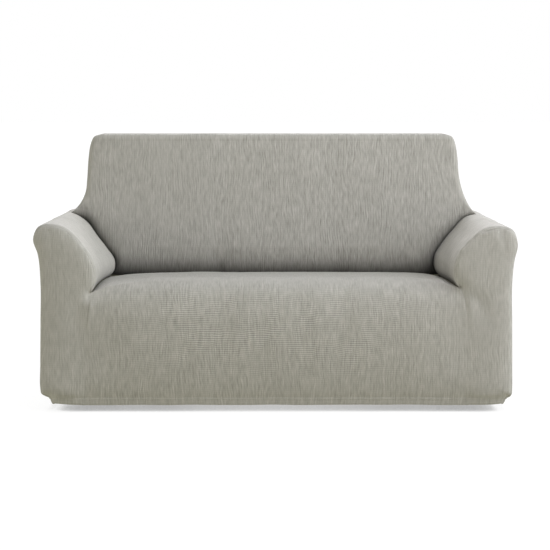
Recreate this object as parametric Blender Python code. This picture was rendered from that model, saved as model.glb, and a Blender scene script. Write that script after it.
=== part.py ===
"""Stretch slipcover for a two-seat sofa, in the shape in which it hangs on the sofa.

The sofa itself is left out, so the cover is a hollow shell of five cut panels of knitted cloth,
open underneath: an inside back that wraps over the top, an outside back, two arm panels, and a
front that runs in one piece over the seat, down the front and up both arm fronts. Each panel
ends below in its own stitched hem, which elastic pulls in under the sofa's base.

Every panel is read off one smooth surface, so neighbours share their seam exactly and are then
drawn a fraction of a millimetre apart.

The tables measure in metres: "out" from the middle plane, "deep" back from the arm fronts and
"up" from the floor. A place is an (x, up) pair, and a point is (x, deep, up).
"""

import math
from collections import namedtuple

import bmesh
import bpy
import numpy as np

# ---- Driving dimensions ------------------------------------------------------------------------

CLOTH = 0.002  # thickness of the textured knit
SEAM_GAP = 0.0008  # clear space between two panels at their seam
MITRE = 1.25  # most that the cloth is thickened where it turns sharply

REAR_DEEP = 0.880  # outer face of the back, at its top
REAR_LEAN = 0.015  # how much further forward its foot is
TOP_UP = 0.904  # highest line of the cover
FACE_DEEP = 0.585  # inside back, just above the seat
FACE_UP = 0.400
RECLINE = math.radians(12)
FACE_CROWN = 0.014  # pillow of the inside back

HEM_UP = 0.024
BASE_UP = 0.080  # below this the cloth turns in under the sofa's base
BASE_FADE = ((HEM_UP, 1.0), (0.045, 0.88), (0.053, 0.50), (0.061, 0.18), (BASE_UP, 0.0))
FRONT_PULL = 0.016  # how far the hem is pulled in, in the middle of the front
CORNER_PULL = 0.026  # and at the four corners, round the sofa's feet
REAR_PULL = 0.030

FRONT_ROUND = 0.020  # radius of the arm's front edge
REAR_ROUND = 0.015
BACK_ROUND = 0.024  # radius of the inside back's upper edge
FRONT_SEAM_TURN = math.radians(50)  # where the seam lies round that edge
REAR_SEAM_TURN = math.radians(45)
SEAM_WIDTH = 0.004  # how far the arm's cloth is drawn to the front seam
ARM_FRONT_DOME = 0.007
ARM_FRONT_EDGE = 0.012  # width of the dome's edge
CORNER_DEEP = 0.013  # where arm and seat part
CORNER_WIDTH = 0.020  # how far the arm's front seam is drawn in above that corner

CREVICE = 0.014  # depth of the fold where arm and back meet
CREVICE_OUT = 0.4  # how far it also goes into the arm, as a share of that
CREVICE_WIDTH = 0.012
CREVICE_FADE = 0.05  # how gently it starts, down from the arm's crest
SEAT_CREVICE_WIDTH = 0.020
WING_FADE = 0.09  # how gently the back's rounded edge starts, up from the arm's crest

# ---- Sections ----------------------------------------------------------------------------------

# The arm's section, from the hem outside, over the arm, to the seat. "steps" is the number of
# faces from this row to the next.
ArmRow = namedtuple("ArmRow", "name steps front_out front_up rear_out rear_up")
ARM = {
    "left": [
        ArmRow("hem", 1, 0.740, 0.024, 0.742, 0.026),
        ArmRow("band_top", 1, 0.748, 0.044, 0.748, 0.045),
        ArmRow("under", 1, 0.762, 0.052, 0.761, 0.053),
        ArmRow("base_low", 1, 0.773, 0.061, 0.771, 0.061),
        ArmRow("base", 1, 0.776, 0.080, 0.774, 0.080),
        ArmRow("wall_low", 2, 0.7755, 0.150, 0.7735, 0.150),
        ArmRow("wall", 3, 0.773, 0.300, 0.772, 0.300),
        ArmRow("waist", 2, 0.772, 0.430, 0.771, 0.430),
        ArmRow("under_roll", 3, 0.780, 0.525, 0.778, 0.525),
        ArmRow("roll", 3, 0.7945, 0.577, 0.790, 0.575),
        ArmRow("shoulder", 3, 0.775, 0.6175, 0.770, 0.614),
        ArmRow("crest", 3, 0.738, 0.6265, 0.7354, 0.6226),
        ArmRow("slope_top", 2, 0.690, 0.615, 0.6877, 0.600),
        ArmRow("slope_mid", 2, 0.640, 0.570, 0.6361, 0.5353),
        ArmRow("slope_low", 2, 0.607, 0.523, 0.606, 0.4974),
        ArmRow("belly", 2, 0.5885, 0.472, 0.575, 0.448),
        ArmRow("under_belly", 1, 0.592, 0.430, 0.5765, 0.415),
        ArmRow("tuck", 0, 0.604, 0.398, 0.592, 0.383),
    ],
    "right": [
        ArmRow("hem", 1, 0.759, 0.024, 0.755, 0.026),
        ArmRow("band_top", 1, 0.768, 0.043, 0.762, 0.045),
        ArmRow("under", 1, 0.779, 0.049, 0.773, 0.052),
        ArmRow("base_low", 1, 0.7835, 0.058, 0.780, 0.060),
        ArmRow("base", 1, 0.7845, 0.080, 0.782, 0.080),
        ArmRow("wall_low", 2, 0.784, 0.150, 0.7815, 0.150),
        ArmRow("wall", 3, 0.782, 0.300, 0.780, 0.300),
        ArmRow("waist", 2, 0.7805, 0.415, 0.778, 0.415),
        ArmRow("under_roll", 3, 0.787, 0.500, 0.784, 0.500),
        ArmRow("roll", 3, 0.7975, 0.560, 0.792, 0.560),
        ArmRow("shoulder", 3, 0.781, 0.605, 0.770, 0.602),
        ArmRow("crest", 3, 0.727, 0.6195, 0.7236, 0.6175),
        ArmRow("slope_top", 2, 0.684, 0.6095, 0.6876, 0.6093),
        ArmRow("slope_mid", 2, 0.640, 0.575, 0.642, 0.565),
        ArmRow("slope_low", 2, 0.603, 0.530, 0.603, 0.518),
        ArmRow("belly", 2, 0.588, 0.474, 0.5705, 0.462),
        ArmRow("under_belly", 1, 0.595, 0.436, 0.570, 0.425),
        ArmRow("tuck", 0, 0.6155, 0.405, 0.583, 0.388),
    ],
}

# The front from the hem up to the seat's front crest: its middle line, and the line below each
# arm's inner side, which ends at the top in the corner where arm and seat part.
FrontRow = namedtuple("FrontRow", "name deep up side_left side_right side_deep side_up")
FRONT = [
    FrontRow("hem", 0.016, 0.026, 0.612, 0.620, 0.016, 0.0255),
    FrontRow("band_top", 0.014, 0.045, 0.612, 0.620, 0.014, 0.045),
    FrontRow("under", 0.008, 0.053, 0.613, 0.621, 0.008, 0.053),
    FrontRow("base_low", 0.003, 0.062, 0.614, 0.622, 0.003, 0.062),
    FrontRow("base", 0.000, 0.085, 0.616, 0.624, 0.000, 0.085),
    FrontRow("wall", -0.007, 0.200, 0.620, 0.630, -0.004, 0.190),
    FrontRow("nose_low", -0.018, 0.300, 0.619, 0.631, -0.006, 0.280),
    FrontRow("nose", -0.014, 0.362, 0.614, 0.628, -0.004, 0.335),
    FrontRow("nose_top", 0.012, 0.408, 0.608, 0.622, 0.002, 0.373),
    FrontRow("crest", 0.062, 0.433, None, None, None, None),
]

# The seat's middle line behind the crest, down into the fold under the inside back.
DeckRow = namedtuple("DeckRow", "name deep up")
DECK = [
    DeckRow("crest", 0.062, 0.433),
    DeckRow("thigh", 0.140, 0.4395),
    DeckRow("middle", 0.300, 0.434),
    DeckRow("hollow", 0.450, 0.424),
    DeckRow("lip", 0.550, 0.4145),
    DeckRow("fold", 0.580, 0.405),
    DeckRow("tuck", 0.603, 0.384),
]
SEAT_SIDE_POWER = 5  # how late the seat falls away towards the arms
APRON_SIDE = 0.72  # where the front starts to go over into the arm fronts, as a share of its half

# The outline of the back above the arms, from its foot on the arm's crest to the top.
BackRow = namedtuple("BackRow", "name steps left_out left_up right_out right_up")
BACK = [
    BackRow("foot", 2, 0.7354, 0.6226, 0.7236, 0.6175),
    BackRow("spread", 2, 0.7070, 0.6530, 0.6995, 0.6530),
    BackRow("neck", 1, 0.6865, 0.6955, 0.6810, 0.6955),
    BackRow("side_low", 2, 0.6815, 0.7450, 0.6690, 0.7450),
    BackRow("side_high", 1, 0.6765, 0.8250, 0.6625, 0.8250),
    BackRow("corner_low", 1, 0.6705, 0.8650, 0.6565, 0.8650),
    BackRow("corner", 1, 0.6570, 0.8945, 0.6435, 0.8945),
    BackRow("corner_top", 0, 0.6320, 0.9040, 0.6180, 0.9040),
]

# Soft creases of the stretched cloth. Each goes from a low to a high place. A depth below zero
# is a ridge.
Crease = namedtuple("Crease", "x_low up_low x_high up_high depth_low depth_high width")
BACK_CREASES = [
    Crease(-0.200, 0.390, -0.206, 0.500, 0.0100, 0.0, 0.022),
    Crease(0.230, 0.390, 0.236, 0.490, 0.0090, 0.0, 0.022),
    Crease(-0.200, 0.400, -0.180, 0.880, 0.0030, 0.001, 0.050),
    Crease(0.230, 0.400, 0.220, 0.880, 0.0020, 0.001, 0.050),
]
FRONT_CREASES = [
    Crease(-0.190, 0.090, -0.180, 0.360, 0.0010, 0.0035, 0.045),
    Crease(-0.050, 0.090, -0.040, 0.350, 0.0005, 0.0025, 0.035),
    Crease(0.095, 0.090, 0.085, 0.350, 0.0005, 0.0025, 0.040),
    Crease(0.220, 0.090, 0.210, 0.360, 0.0010, 0.0035, 0.045),
    Crease(-0.622, 0.260, -0.612, 0.355, 0.0, -0.0045, 0.014),
    Crease(-0.655, 0.300, -0.650, 0.350, 0.0025, 0.0030, 0.025),
    Crease(0.652, 0.280, 0.636, 0.370, -0.0010, -0.0045, 0.016),
    Crease(0.700, 0.320, 0.672, 0.372, 0.0020, 0.0045, 0.022),
    Crease(0.640, 0.440, 0.660, 0.520, -0.0060, -0.0030, 0.045),
]

# ---- Sampling ----------------------------------------------------------------------------------

DETAIL = 1  # every stretch between two rows below is cut into this many more

# Places across the seat and back, from -1 at the left to 1 at the right.
ACROSS = (
    (-1.0, -0.985, -0.955, -0.90, -0.82, -0.70, -0.56, -0.44, -0.37, -0.32, -0.27, -0.18, -0.06)
    + (0.06, 0.18, 0.29, 0.35, 0.40, 0.46, 0.58, 0.70, 0.82, 0.90, 0.955, 0.985, 1.0)
)
ARM_DISTANCES = (0, 0.008, 0.022, 0.06, 0.13, 0.22, 0.32, 0.42, 0.50, 0.555, 0.585, 0.605)
EDGE_INSETS = (0, 0.007, 0.020)  # lines round the arm's front, in from its seam
ARM_FRONT_FACES = 3
EDGE_FACES = 3
BACK_DEPTH_FACES = 3
REAR_EDGE_FACES = 2

# The row's origin: the underside of the cover's top, where the sofa's back carries it.
ORIGIN = np.array([0.0, 0.790, TOP_UP - CLOTH])

COLOUR = (0.44, 0.43, 0.385, 1.0)
SIDES = {"left": -1, "right": 1}


# ---- Curves and blends -------------------------------------------------------------------------


def smooth(points, steps):
    """Points on a smooth curve through the given ones, with steps[i] stretches after point i."""
    p = np.asarray(points, float)
    span = np.linalg.norm(np.diff(p, axis=0), axis=1)[:, None]
    slope = np.diff(p, axis=0) / span
    between = (slope[:-1] * span[1:] + slope[1:] * span[:-1]) / (span[:-1] + span[1:])
    tangent = np.vstack([slope[:1], between, slope[-1:]])
    found = [p[:1]]
    for i, count in enumerate(steps):
        t = np.arange(1, count * DETAIL + 1)[:, None] / (count * DETAIL)
        found.append(
            (2 * t**3 - 3 * t**2 + 1) * p[i]
            + (t**3 - 2 * t**2 + t) * span[i] * tangent[i]
            + (3 * t**2 - 2 * t**3) * p[i + 1]
            + (t**3 - t**2) * span[i] * tangent[i + 1]
        )
    return np.vstack(found)


def finer(values, times):
    """A row of values, or a line of points, with each stretch cut into this many."""
    values = np.asarray(values, float)
    at = np.linspace(0, len(values) - 1, (len(values) - 1) * times + 1)
    low = np.minimum(at.astype(int), len(values) - 2)
    share = (at - low).reshape((-1,) + (1,) * (values.ndim - 1))
    return values[low] * (1 - share) + values[low + 1] * share


def inward(line):
    """Unit normals of an (out, up) line that climbs outside and comes down inside."""
    step = np.gradient(line, axis=0)
    normal = np.stack([-step[:, 1], step[:, 0]], axis=1)
    return normal / np.linalg.norm(normal, axis=1, keepdims=True)


def along(line):
    """Distance of each point of a line from its first, along the line."""
    return np.concatenate([[0], np.cumsum(np.linalg.norm(np.diff(line, axis=0), axis=1))])


def grown(distance, reach):
    """0 at no distance, and near 1 past the reach."""
    return 1 - np.exp(-np.asarray(distance) / reach)


def soft_step(share):
    """0 to 1 with level ends."""
    share = np.clip(share, 0, 1)
    return share * share * (3 - 2 * share)


def nearest(places, seam):
    """For each place, how far a line of points is, and its nearest point."""
    line = finer(seam, 8)
    gap = np.linalg.norm(places[..., None, :] - line[:, [0, 2]], axis=-1)
    return gap.min(axis=-1), line[gap.argmin(axis=-1)]


# ---- Depth of the surfaces that face forwards and backwards -------------------------------------


def base_pull(up):
    """Share of the pull under the base, from 0 on the wall to 1 at the hem."""
    return np.interp(up, *np.transpose(BASE_FADE))


def crease_depth(x, up, creases):
    """Depth of the soft creases at a place."""
    total = np.zeros(np.broadcast(x, up).shape)
    for c in creases:
        run_x, run_up = c.x_high - c.x_low, c.up_high - c.up_low
        share = ((x - c.x_low) * run_x + (up - c.up_low) * run_up) / (run_x**2 + run_up**2)
        share = np.clip(share, 0, 1)
        off_x = x - c.x_low - share * run_x
        off_up = up - c.up_low - share * run_up
        depth = c.depth_low + (c.depth_high - c.depth_low) * share
        total += depth * np.exp(-(off_x**2 + off_up**2) / c.width**2)
    return total


def face_deep(x, up):
    """Depth of the inside back's face, before it turns into a fold or over an edge."""
    climb = up - FACE_UP
    pillow = np.clip(1 - (x / 0.66) ** 2, 0, 1) * np.clip(climb / 0.10, 0, 1)
    pillow = pillow * np.clip((TOP_UP - up) / 0.12, 0, 1) ** 0.5
    plane = FACE_DEEP + climb * math.tan(RECLINE)
    return plane - FACE_CROWN * pillow + crease_depth(x, up, BACK_CREASES)


def folded_face(places, seams):
    """Depth of the inside back's face, drawn back into the folds along (seam, width) pairs."""
    deep = face_deep(places[..., 0], places[..., 1])
    drawn = np.zeros_like(deep)
    for seam, width in seams:
        gap, at = nearest(places, seam)
        off = at[..., 1] - face_deep(at[..., 0], at[..., 2])
        drawn = np.maximum(drawn, off * np.exp(-gap / width))
    return deep + drawn


def rear_deep(up):
    """Depth of the outside back, before it turns in at an edge."""
    return REAR_DEEP - REAR_LEAN * (1 - up / TOP_UP) - REAR_PULL * base_pull(up)


# ---- One arm -----------------------------------------------------------------------------------

ARM_STEPS = [row.steps for row in ARM["left"][:-1]]
CREST = DETAIL * sum(ARM_STEPS[: [row.name for row in ARM["left"]].index("crest")])
SEAM_DEEP = FRONT_ROUND * (1 - math.sin(FRONT_SEAM_TURN))


def arm_lines(side):
    """The arm's section at its front and at its rear, as (out, up) lines."""
    rows = ARM[side]
    front = smooth([(row.front_out, row.front_up) for row in rows], ARM_STEPS)
    rear = smooth([(row.rear_out, row.rear_up) for row in rows], ARM_STEPS)
    return front, rear


def front_ring(side):
    """The seam round the arm's front, from the hem outside to the corner with the seat."""
    line, _ = arm_lines(side)
    near_corner = 1 - grown(along(line)[-1] - along(line), CORNER_WIDTH)
    inset = FRONT_ROUND * (1 - math.cos(FRONT_SEAM_TURN)) * (1 - near_corner)
    seam = line + inward(line) * inset[:, None]
    deep = SEAM_DEEP + (CORNER_DEEP - SEAM_DEEP) * near_corner
    deep += CORNER_PULL * base_pull(line[:, 1])
    return np.column_stack([seam[:, 0], deep, seam[:, 1]])


def back_crevice(side):
    """The fold between arm and inside back, from the arm's crest down to the seat."""
    _, rear = arm_lines(side)
    line = rear[CREST:]
    fold = CREVICE * grown(along(line), CREVICE_FADE)
    seam = line + inward(rear)[CREST:] * fold[:, None] * CREVICE_OUT
    deep = face_deep(SIDES[side] * line[:, 0], line[:, 1]) + fold
    return np.column_stack([seam[:, 0], deep, seam[:, 1]])


def edge_inset(distance, radius, turn):
    """How far a rounded edge stands in, at this distance from the seam that lies on it."""
    setback = np.minimum(radius * (1 - math.sin(turn)) + distance, radius)
    return radius - np.sqrt(radius**2 - (radius - setback) ** 2)


def arm_grids(side, foot_deeps):
    """The inner and outer half of an arm panel, as (row, column) grids of (out, deep, up).

    Rows run from front to rear and columns along the section. foot_deeps gives the depths of the
    rows behind the inside back's foot, where only the outer half goes on to the rear."""
    front, rear = arm_lines(side)
    ring, fold = front_ring(side), back_crevice(side)
    foot = fold[0, 1]
    inner, outer = [], []
    for share in finer(ARM_DISTANCES, DETAIL) / ARM_DISTANCES[-1]:
        deep = ring[:, 1] + (foot - ring[:, 1]) * share
        deep[CREST:] = ring[CREST:, 1] + (fold[:, 1] - ring[CREST:, 1]) * share
        from_ring = deep - ring[:, 1]
        section = front + (rear - front) * np.clip(deep / foot, 0, 1)[:, None]
        section += inward(section) * edge_inset(from_ring, FRONT_ROUND, FRONT_SEAM_TURN)[:, None]
        section += (ring[:, [0, 2]] - section) * np.exp(-from_ring / SEAM_WIDTH)[:, None]
        to_fold = fold[:, 1] - deep[CREST:]
        drawn = (fold[:, [0, 2]] - section[CREST:]) * np.exp(-to_fold / CREVICE_WIDTH)[:, None]
        section[CREST:] += drawn
        grid = np.column_stack([section[:, 0], deep, section[:, 1]])
        inner.append(grid[CREST:])
        outer.append(grid[: CREST + 1])
    inner[0], outer[0] = ring[CREST:], ring[: CREST + 1]
    inner[-1], outer[-1][-1] = fold, fold[0]
    line = rear[: CREST + 1]
    from_crest = along(line)[-1] - along(line)
    seam_deep = rear_deep(line[:, 1]) - REAR_ROUND * (1 - math.sin(REAR_SEAM_TURN))
    for foot_deep in foot_deeps:
        share = (foot_deep - foot) / (foot_deeps[-1] - foot)
        deep = foot + (seam_deep - foot) * share
        inset = edge_inset(seam_deep - deep, REAR_ROUND, REAR_SEAM_TURN)
        inset *= grown(from_crest, CORNER_WIDTH)
        section = line + inward(rear)[: CREST + 1] * inset[:, None]
        outer.append(np.column_stack([section[:, 0], deep, section[:, 1]]))
    return np.array(inner), np.array(outer)


# ---- The back ----------------------------------------------------------------------------------

BACK_SIDE = DETAIL * sum(row.steps for row in BACK)


def shares_across():
    """Places across the seat and back, from 0 at the left to 1 at the right."""
    return (finer(ACROSS, DETAIL) + 1) / 2


def back_outline():
    """The outline of the back above the arms, foot to foot over the top, as (x, up)."""
    steps = [row.steps for row in BACK[:-1]]
    left = smooth([(-row.left_out, row.left_up) for row in BACK], steps)
    right = smooth([(row.right_out, row.right_up) for row in BACK], steps)
    top = left[-1] + (right[-1] - left[-1]) * shares_across()[1:-1, None]
    return np.vstack([left, top, right[::-1]])


def rim_rows(folds):
    """The strip over the top and down both sides of the back, from its face to the rear seam."""
    line = back_outline()
    step = np.gradient(line, axis=0)
    step[BACK_SIDE:-BACK_SIDE] = (1, 0)
    normal = np.stack([step[:, 1], -step[:, 0]], axis=1)
    normal /= np.linalg.norm(normal, axis=1, keepdims=True)
    from_foot = np.minimum(along(line), along(line)[-1] - along(line))
    full = soft_step(from_foot / WING_FADE)[:, None]
    on_face = line + normal * BACK_ROUND * full
    face = folded_face(on_face, [(folds[side], CREVICE_WIDTH) for side in SIDES])
    rows = []
    for turn in np.linspace(0, math.pi / 2, EDGE_FACES * DETAIL + 1):
        place = line + normal * BACK_ROUND * (1 - math.sin(turn)) * full
        rows.append((place, face + BACK_ROUND * (1 - math.cos(turn))))
    start = rows[-1][1]
    end = rear_deep(line[:, 1]) - REAR_ROUND
    for share in np.linspace(0, 1, BACK_DEPTH_FACES * DETAIL + 1)[1:]:
        rows.append((line, start + (end - start) * share))
    for turn in np.linspace(0, REAR_SEAM_TURN, REAR_EDGE_FACES * DETAIL + 1)[1:]:
        place = line + normal * REAR_ROUND * (1 - math.cos(turn)) * full
        rows.append((place, end + REAR_ROUND * math.sin(turn)))
    return np.array([np.column_stack([p[:, 0], d, p[:, 1]]) for p, d in rows])


def panel_between(left, right, bottom, top):
    """Places of a panel whose four sides are given as points, as a grid of rows going up."""
    left, right, bottom, top = (side[:, [0, 2]] for side in (left, right, bottom, top))
    u = shares_across()[None, :, None]
    climb_left = (left[:, 1] - left[0, 1]) / (left[-1, 1] - left[0, 1])
    climb_right = (right[:, 1] - right[0, 1]) / (right[-1, 1] - right[0, 1])
    v = ((climb_left + climb_right) / 2)[:, None, None]
    sides = left[:, None] * (1 - u) + right[:, None] * u
    ends = bottom[None] * (1 - v) + top[None] * v
    low = left[0] * (1 - u) + right[0] * u
    high = left[-1] * (1 - u) + right[-1] * u
    return sides + ends - low * (1 - v) - high * v


def inside_back_face(rim, folds, seat_rear):
    """The grid of the inside back's face, between the seat, the arms and the rim."""
    left = np.vstack([folds["left"][::-1], rim[0][1 : BACK_SIDE + 1]])
    right = np.vstack([folds["right"][::-1], rim[0][::-1][1 : BACK_SIDE + 1]])
    top = rim[0][BACK_SIDE:-BACK_SIDE]
    place = panel_between(left, right, seat_rear, top)
    seams = [(folds[side], CREVICE_WIDTH) for side in SIDES]
    deep = folded_face(place, seams + [(seat_rear, SEAT_CREVICE_WIDTH)])
    grid = np.dstack([place[..., 0], deep, place[..., 1]])
    grid[:, 0], grid[:, -1], grid[0], grid[-1] = left, right, seat_rear, top
    return grid


def outside_back(rim, arms):
    """The grid of the outside back, from the hem to the rear seam over the top."""
    left = np.vstack([arms["left"][-1], rim[-1][1 : BACK_SIDE + 1]])
    right = np.vstack([arms["right"][-1], rim[-1][::-1][1 : BACK_SIDE + 1]])
    top = rim[-1][BACK_SIDE:-BACK_SIDE]
    bottom = left[0] + (right[0] - left[0]) * shares_across()[:, None]
    place = panel_between(left, right, bottom, top)
    gap, at = nearest(place, np.vstack([left, top, right[::-1]]))
    off = at[..., 1] - rear_deep(at[..., 2])
    deep = rear_deep(place[..., 1]) + off * np.exp(-gap / (REAR_ROUND / 2))
    grid = np.dstack([place[..., 0], deep, place[..., 1]])
    grid[:, 0], grid[:, -1], grid[-1] = left, right, top
    return grid


# ---- The front ---------------------------------------------------------------------------------


def side_line(side):
    """The line below the arm's inner side, from the hem up to the corner of arm and seat."""
    corner = ARM[side][-1]
    rows = [(getattr(row, "side_" + side), row.side_deep, row.side_up) for row in FRONT[:-1]]
    line = finer(rows + [(corner.front_out, CORNER_DEEP, corner.front_up)], DETAIL)
    line[:-1, 1] += crease_depth(SIDES[side] * line[:-1, 0], line[:-1, 2], FRONT_CREASES)
    return line


def seat_grid(arm_edges):
    """The grid between the two arms, from the hem to the fold under the inside back."""
    apron = finer([(row.deep, row.up) for row in FRONT], DETAIL)
    deck = smooth([(row.deep, row.up) for row in DECK], [12] * (len(DECK) - 1))
    share = finer(ARM_DISTANCES, DETAIL)[1:] / ARM_DISTANCES[-1]
    deep = DECK[0].deep + (DECK[-1].deep - DECK[0].deep) * share
    top = np.column_stack([deep, np.interp(deep, deck[:, 0], deck[:, 1])])
    middle = np.vstack([apron, top])
    sides = {side: np.vstack([side_line(side), arm_edges[side][1:]]) for side in SIDES}
    across = 2 * shares_across() - 1
    on_deck = soft_step((middle[:, 1] - 0.33) / 0.09)
    on_deck[len(apron) :] = 1
    grid = np.zeros((len(middle), len(across), 3))
    for j, place in enumerate(across):
        late = abs(place) ** SEAT_SIDE_POWER * on_deck
        late += soft_step((abs(place) - APRON_SIDE) / (1 - APRON_SIDE)) * (1 - on_deck)
        side = sides["left" if place < 0 else "right"][:, 1:]
        grid[:, j, 1:] = middle + (side - middle) * late[:, None]
        left, right = sides["left"][:, 0], sides["right"][:, 0]
        grid[:, j, 0] = right * (1 + place) / 2 - left * (1 - place) / 2
    facing = 1 - soft_step((grid[..., 1] - 0.02) / 0.06)
    creases = crease_depth(grid[..., 0], grid[..., 2], FRONT_CREASES) * facing
    creases[:, [0, -1]] = 0
    grid[..., 1] += creases
    return grid


def arm_front_grid(side):
    """The grid of an arm's front, made of rungs from its outer edge to its inner edge."""
    ring, inner_line = front_ring(side), side_line(side)
    edge = np.vstack([ring, inner_line[::-1][1:]])
    into = inward(edge[:, [0, 2]])
    into[:, 1] *= soft_step((edge[:, 2] - BASE_UP) / 0.10)
    into /= np.linalg.norm(into, axis=1, keepdims=True)
    insets = [edge[:, [0, 2]] + into * inset for inset in finer(EDGE_INSETS, DETAIL)]
    outer = [line[: CREST + 1] for line in insets]
    inner = [line[CREST:][::-1] for line in insets[::-1]]
    shares = np.linspace(0, 1, ARM_FRONT_FACES * DETAIL + 1)[1:-1]
    between = [outer[-1] * (1 - share) + inner[0] * share for share in shares]
    place = np.stack(outer + between + inner, axis=1)
    to_ring, at_ring = nearest(place, ring)
    to_line, at_line = nearest(place, inner_line)
    ring_deep = at_ring[..., 1] - CORNER_PULL * base_pull(at_ring[..., 2])
    deep = ring_deep - (ring_deep + ARM_FRONT_DOME) * grown(to_ring, ARM_FRONT_EDGE)
    reach = 0.012 + 0.028 * soft_step((0.38 - place[..., 1]) / 0.08)
    near = np.exp(-((to_line / reach) ** 2))
    line_creases = crease_depth(SIDES[side] * at_line[..., 0], at_line[..., 2], FRONT_CREASES)
    line_deep = at_line[..., 1] - FRONT_PULL * base_pull(at_line[..., 2]) - line_creases
    deep = deep * (1 - near) + line_deep * near
    creases = crease_depth(SIDES[side] * place[..., 0], place[..., 1], FRONT_CREASES)
    deep += creases * grown(to_ring, ARM_FRONT_EDGE)
    across = to_line / (to_line + to_ring + 1e-9)
    deep += (FRONT_PULL + (CORNER_PULL - FRONT_PULL) * across**2) * base_pull(place[..., 1])
    grid = np.dstack([place[..., 0], deep, place[..., 1]])
    grid[:, 0], grid[:, -1] = edge[: CREST + 1], edge[CREST:][::-1]
    return grid


# ---- The whole surface, and the panels cut from it ----------------------------------------------


def surface():
    """Every grid of the cover with the panel that it belongs to."""
    folds = {side: back_crevice(side) * (sign, 1, 1) for side, sign in SIDES.items()}
    rim = rim_rows(folds)
    foot_deeps = {"left": rim[1:, 0, 1], "right": rim[1:, -1, 1]}
    arms, arm_edges, grids = {}, {}, []
    for side, sign in SIDES.items():
        inner, outer = arm_grids(side, foot_deeps[side])
        arms[side] = outer * (sign, 1, 1)
        arm_edges[side] = inner[:, -1]
        grids.append(("arm_" + side, inner * (sign, 1, 1)))
        grids.append(("arm_" + side, arms[side]))
        grids.append(("front", arm_front_grid(side) * (sign, 1, 1)))
    seat = seat_grid(arm_edges)
    grids.append(("front", seat))
    grids.append(("inside_back", inside_back_face(rim, folds, seat[-1])))
    grids.append(("inside_back", rim))
    grids.append(("outside_back", outside_back(rim, arms)))
    return grids


def whole_cover():
    """One mesh of the outer surface, welded at its seams, with each face's panel in a layer."""
    grids = surface()
    names = sorted({name for name, _ in grids})
    bm = bmesh.new()
    panel = bm.faces.layers.int.new("panel")
    for name, grid in grids:
        rows, columns = grid.shape[:2]
        verts = [[bm.verts.new(point - ORIGIN) for point in row] for row in grid]
        for i in range(rows - 1):
            for j in range(columns - 1):
                corners = (verts[i][j], verts[i][j + 1], verts[i + 1][j + 1], verts[i + 1][j])
                bm.faces.new(corners)[panel] = names.index(name)
    bmesh.ops.remove_doubles(bm, verts=bm.verts, dist=2e-5)
    bmesh.ops.triangulate(bm, faces=bm.faces, quad_method="SHORT_EDGE")
    bmesh.ops.recalc_face_normals(bm, faces=bm.faces)
    highest = max(bm.faces, key=lambda face: face.calc_center_median().z)
    if highest.normal.z < 0:
        bmesh.ops.reverse_faces(bm, faces=bm.faces)
    bm.normal_update()
    bm.verts.index_update()
    return bm, panel, names


def across_seam(edge, panel, number):
    """The direction from the seam's other panel to this one, square to the seam."""
    start, end = (vert.co for vert in edge.verts)
    run = (end - start).normalized()
    way = start * 0
    for face in edge.link_faces:
        into = face.calc_center_median() - start
        into = (into - run * into.dot(run)).normalized()
        way += into if face[panel] == number else -into
    return way.normalized()


def seam_shift(vert, panel, number):
    """How far a seam's vertex moves so that this panel stays clear of its neighbours."""
    ways = []
    for edge in vert.link_edges:
        sides = [face[panel] == number for face in edge.link_faces]
        if any(sides) and not all(sides):
            ways.append(across_seam(edge, panel, number))
    if not ways:
        return vert.co * 0
    if len(ways) == 1:
        return ways[0] * SEAM_GAP / 2
    total = ways[0] + ways[1]
    return total * SEAM_GAP / 2 / max(1 + ways[0].dot(ways[1]), 0.3)


def edge_strip(start, end, count, rising):
    """The two faces that close a panel's cut edge, split alike on both sides of a seam."""
    if rising:
        return [[end, start, end + count], [start, start + count, end + count]]
    return [[end, start, start + count], [end, start + count, end + count]]


def cut_panel(bm, panel, number):
    """(points, faces) of one panel as a closed sheet of cloth, clear of its neighbours."""
    faces = [face for face in bm.faces if face[panel] == number]
    verts = sorted({v for face in faces for v in face.verts}, key=lambda v: v.index)
    place = {v: i for i, v in enumerate(verts)}
    outer = [v.co + seam_shift(v, panel, number) for v in verts]
    inner = [
        point - v.normal * CLOTH * min(v.calc_shell_factor(), MITRE)
        for point, v in zip(outer, verts)
    ]
    count = len(verts)
    skins = [[place[v] for v in face.verts] for face in faces]
    skins += [[place[v] + count for v in reversed(face.verts)] for face in faces]
    for face in faces:
        for loop in face.loops:
            if sum(f[panel] == number for f in loop.edge.link_faces) == 1:
                start, end = loop.vert, loop.link_loop_next.vert
                skins += edge_strip(place[start], place[end], count, start.index < end.index)
    return outer + inner, skins


def knit_material():
    """Textured two-way stretch knit in a warm light grey."""
    material = bpy.data.materials.new("knit")
    material.use_nodes = True
    shader = material.node_tree.nodes["Principled BSDF"]
    shader.inputs["Base Color"].default_value = COLOUR
    shader.inputs["Roughness"].default_value = 0.9
    shader.inputs["Metallic"].default_value = 0.0
    return material


def main():
    for obj in list(bpy.data.objects):
        bpy.data.objects.remove(obj)
    material = knit_material()
    bm, panel, names = whole_cover()
    for number, name in enumerate(names):
        points, faces = cut_panel(bm, panel, number)
        mesh = bpy.data.meshes.new(name)
        mesh.from_pydata(points, [], faces)
        mesh.materials.append(material)
        mesh.shade_smooth()
        bpy.context.scene.collection.objects.link(bpy.data.objects.new(name, mesh))
    bm.free()


main()
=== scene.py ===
"""Looks of the stretch slipcover: five panels of crinkled rib knit, their hem and their seams.

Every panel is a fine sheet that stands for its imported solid. It follows the same named sections as
the solid, read more finely and a few of them set closer to the photo, and carries the small folds,
the puckers at the seams, the gathers that the elastic pulls into the hem, and the hem's turned edge
and stitches.

The tables measure in metres: "out" from the middle plane, "deep" back from the arm fronts and "up"
from the floor. A place is an (x, up) pair, and a point is (x, deep, up). Each panel also has its
own coordinates on the cloth, also in metres: "across" the ribs and "along" them.
"""

import math
from collections import Counter, namedtuple

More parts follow.
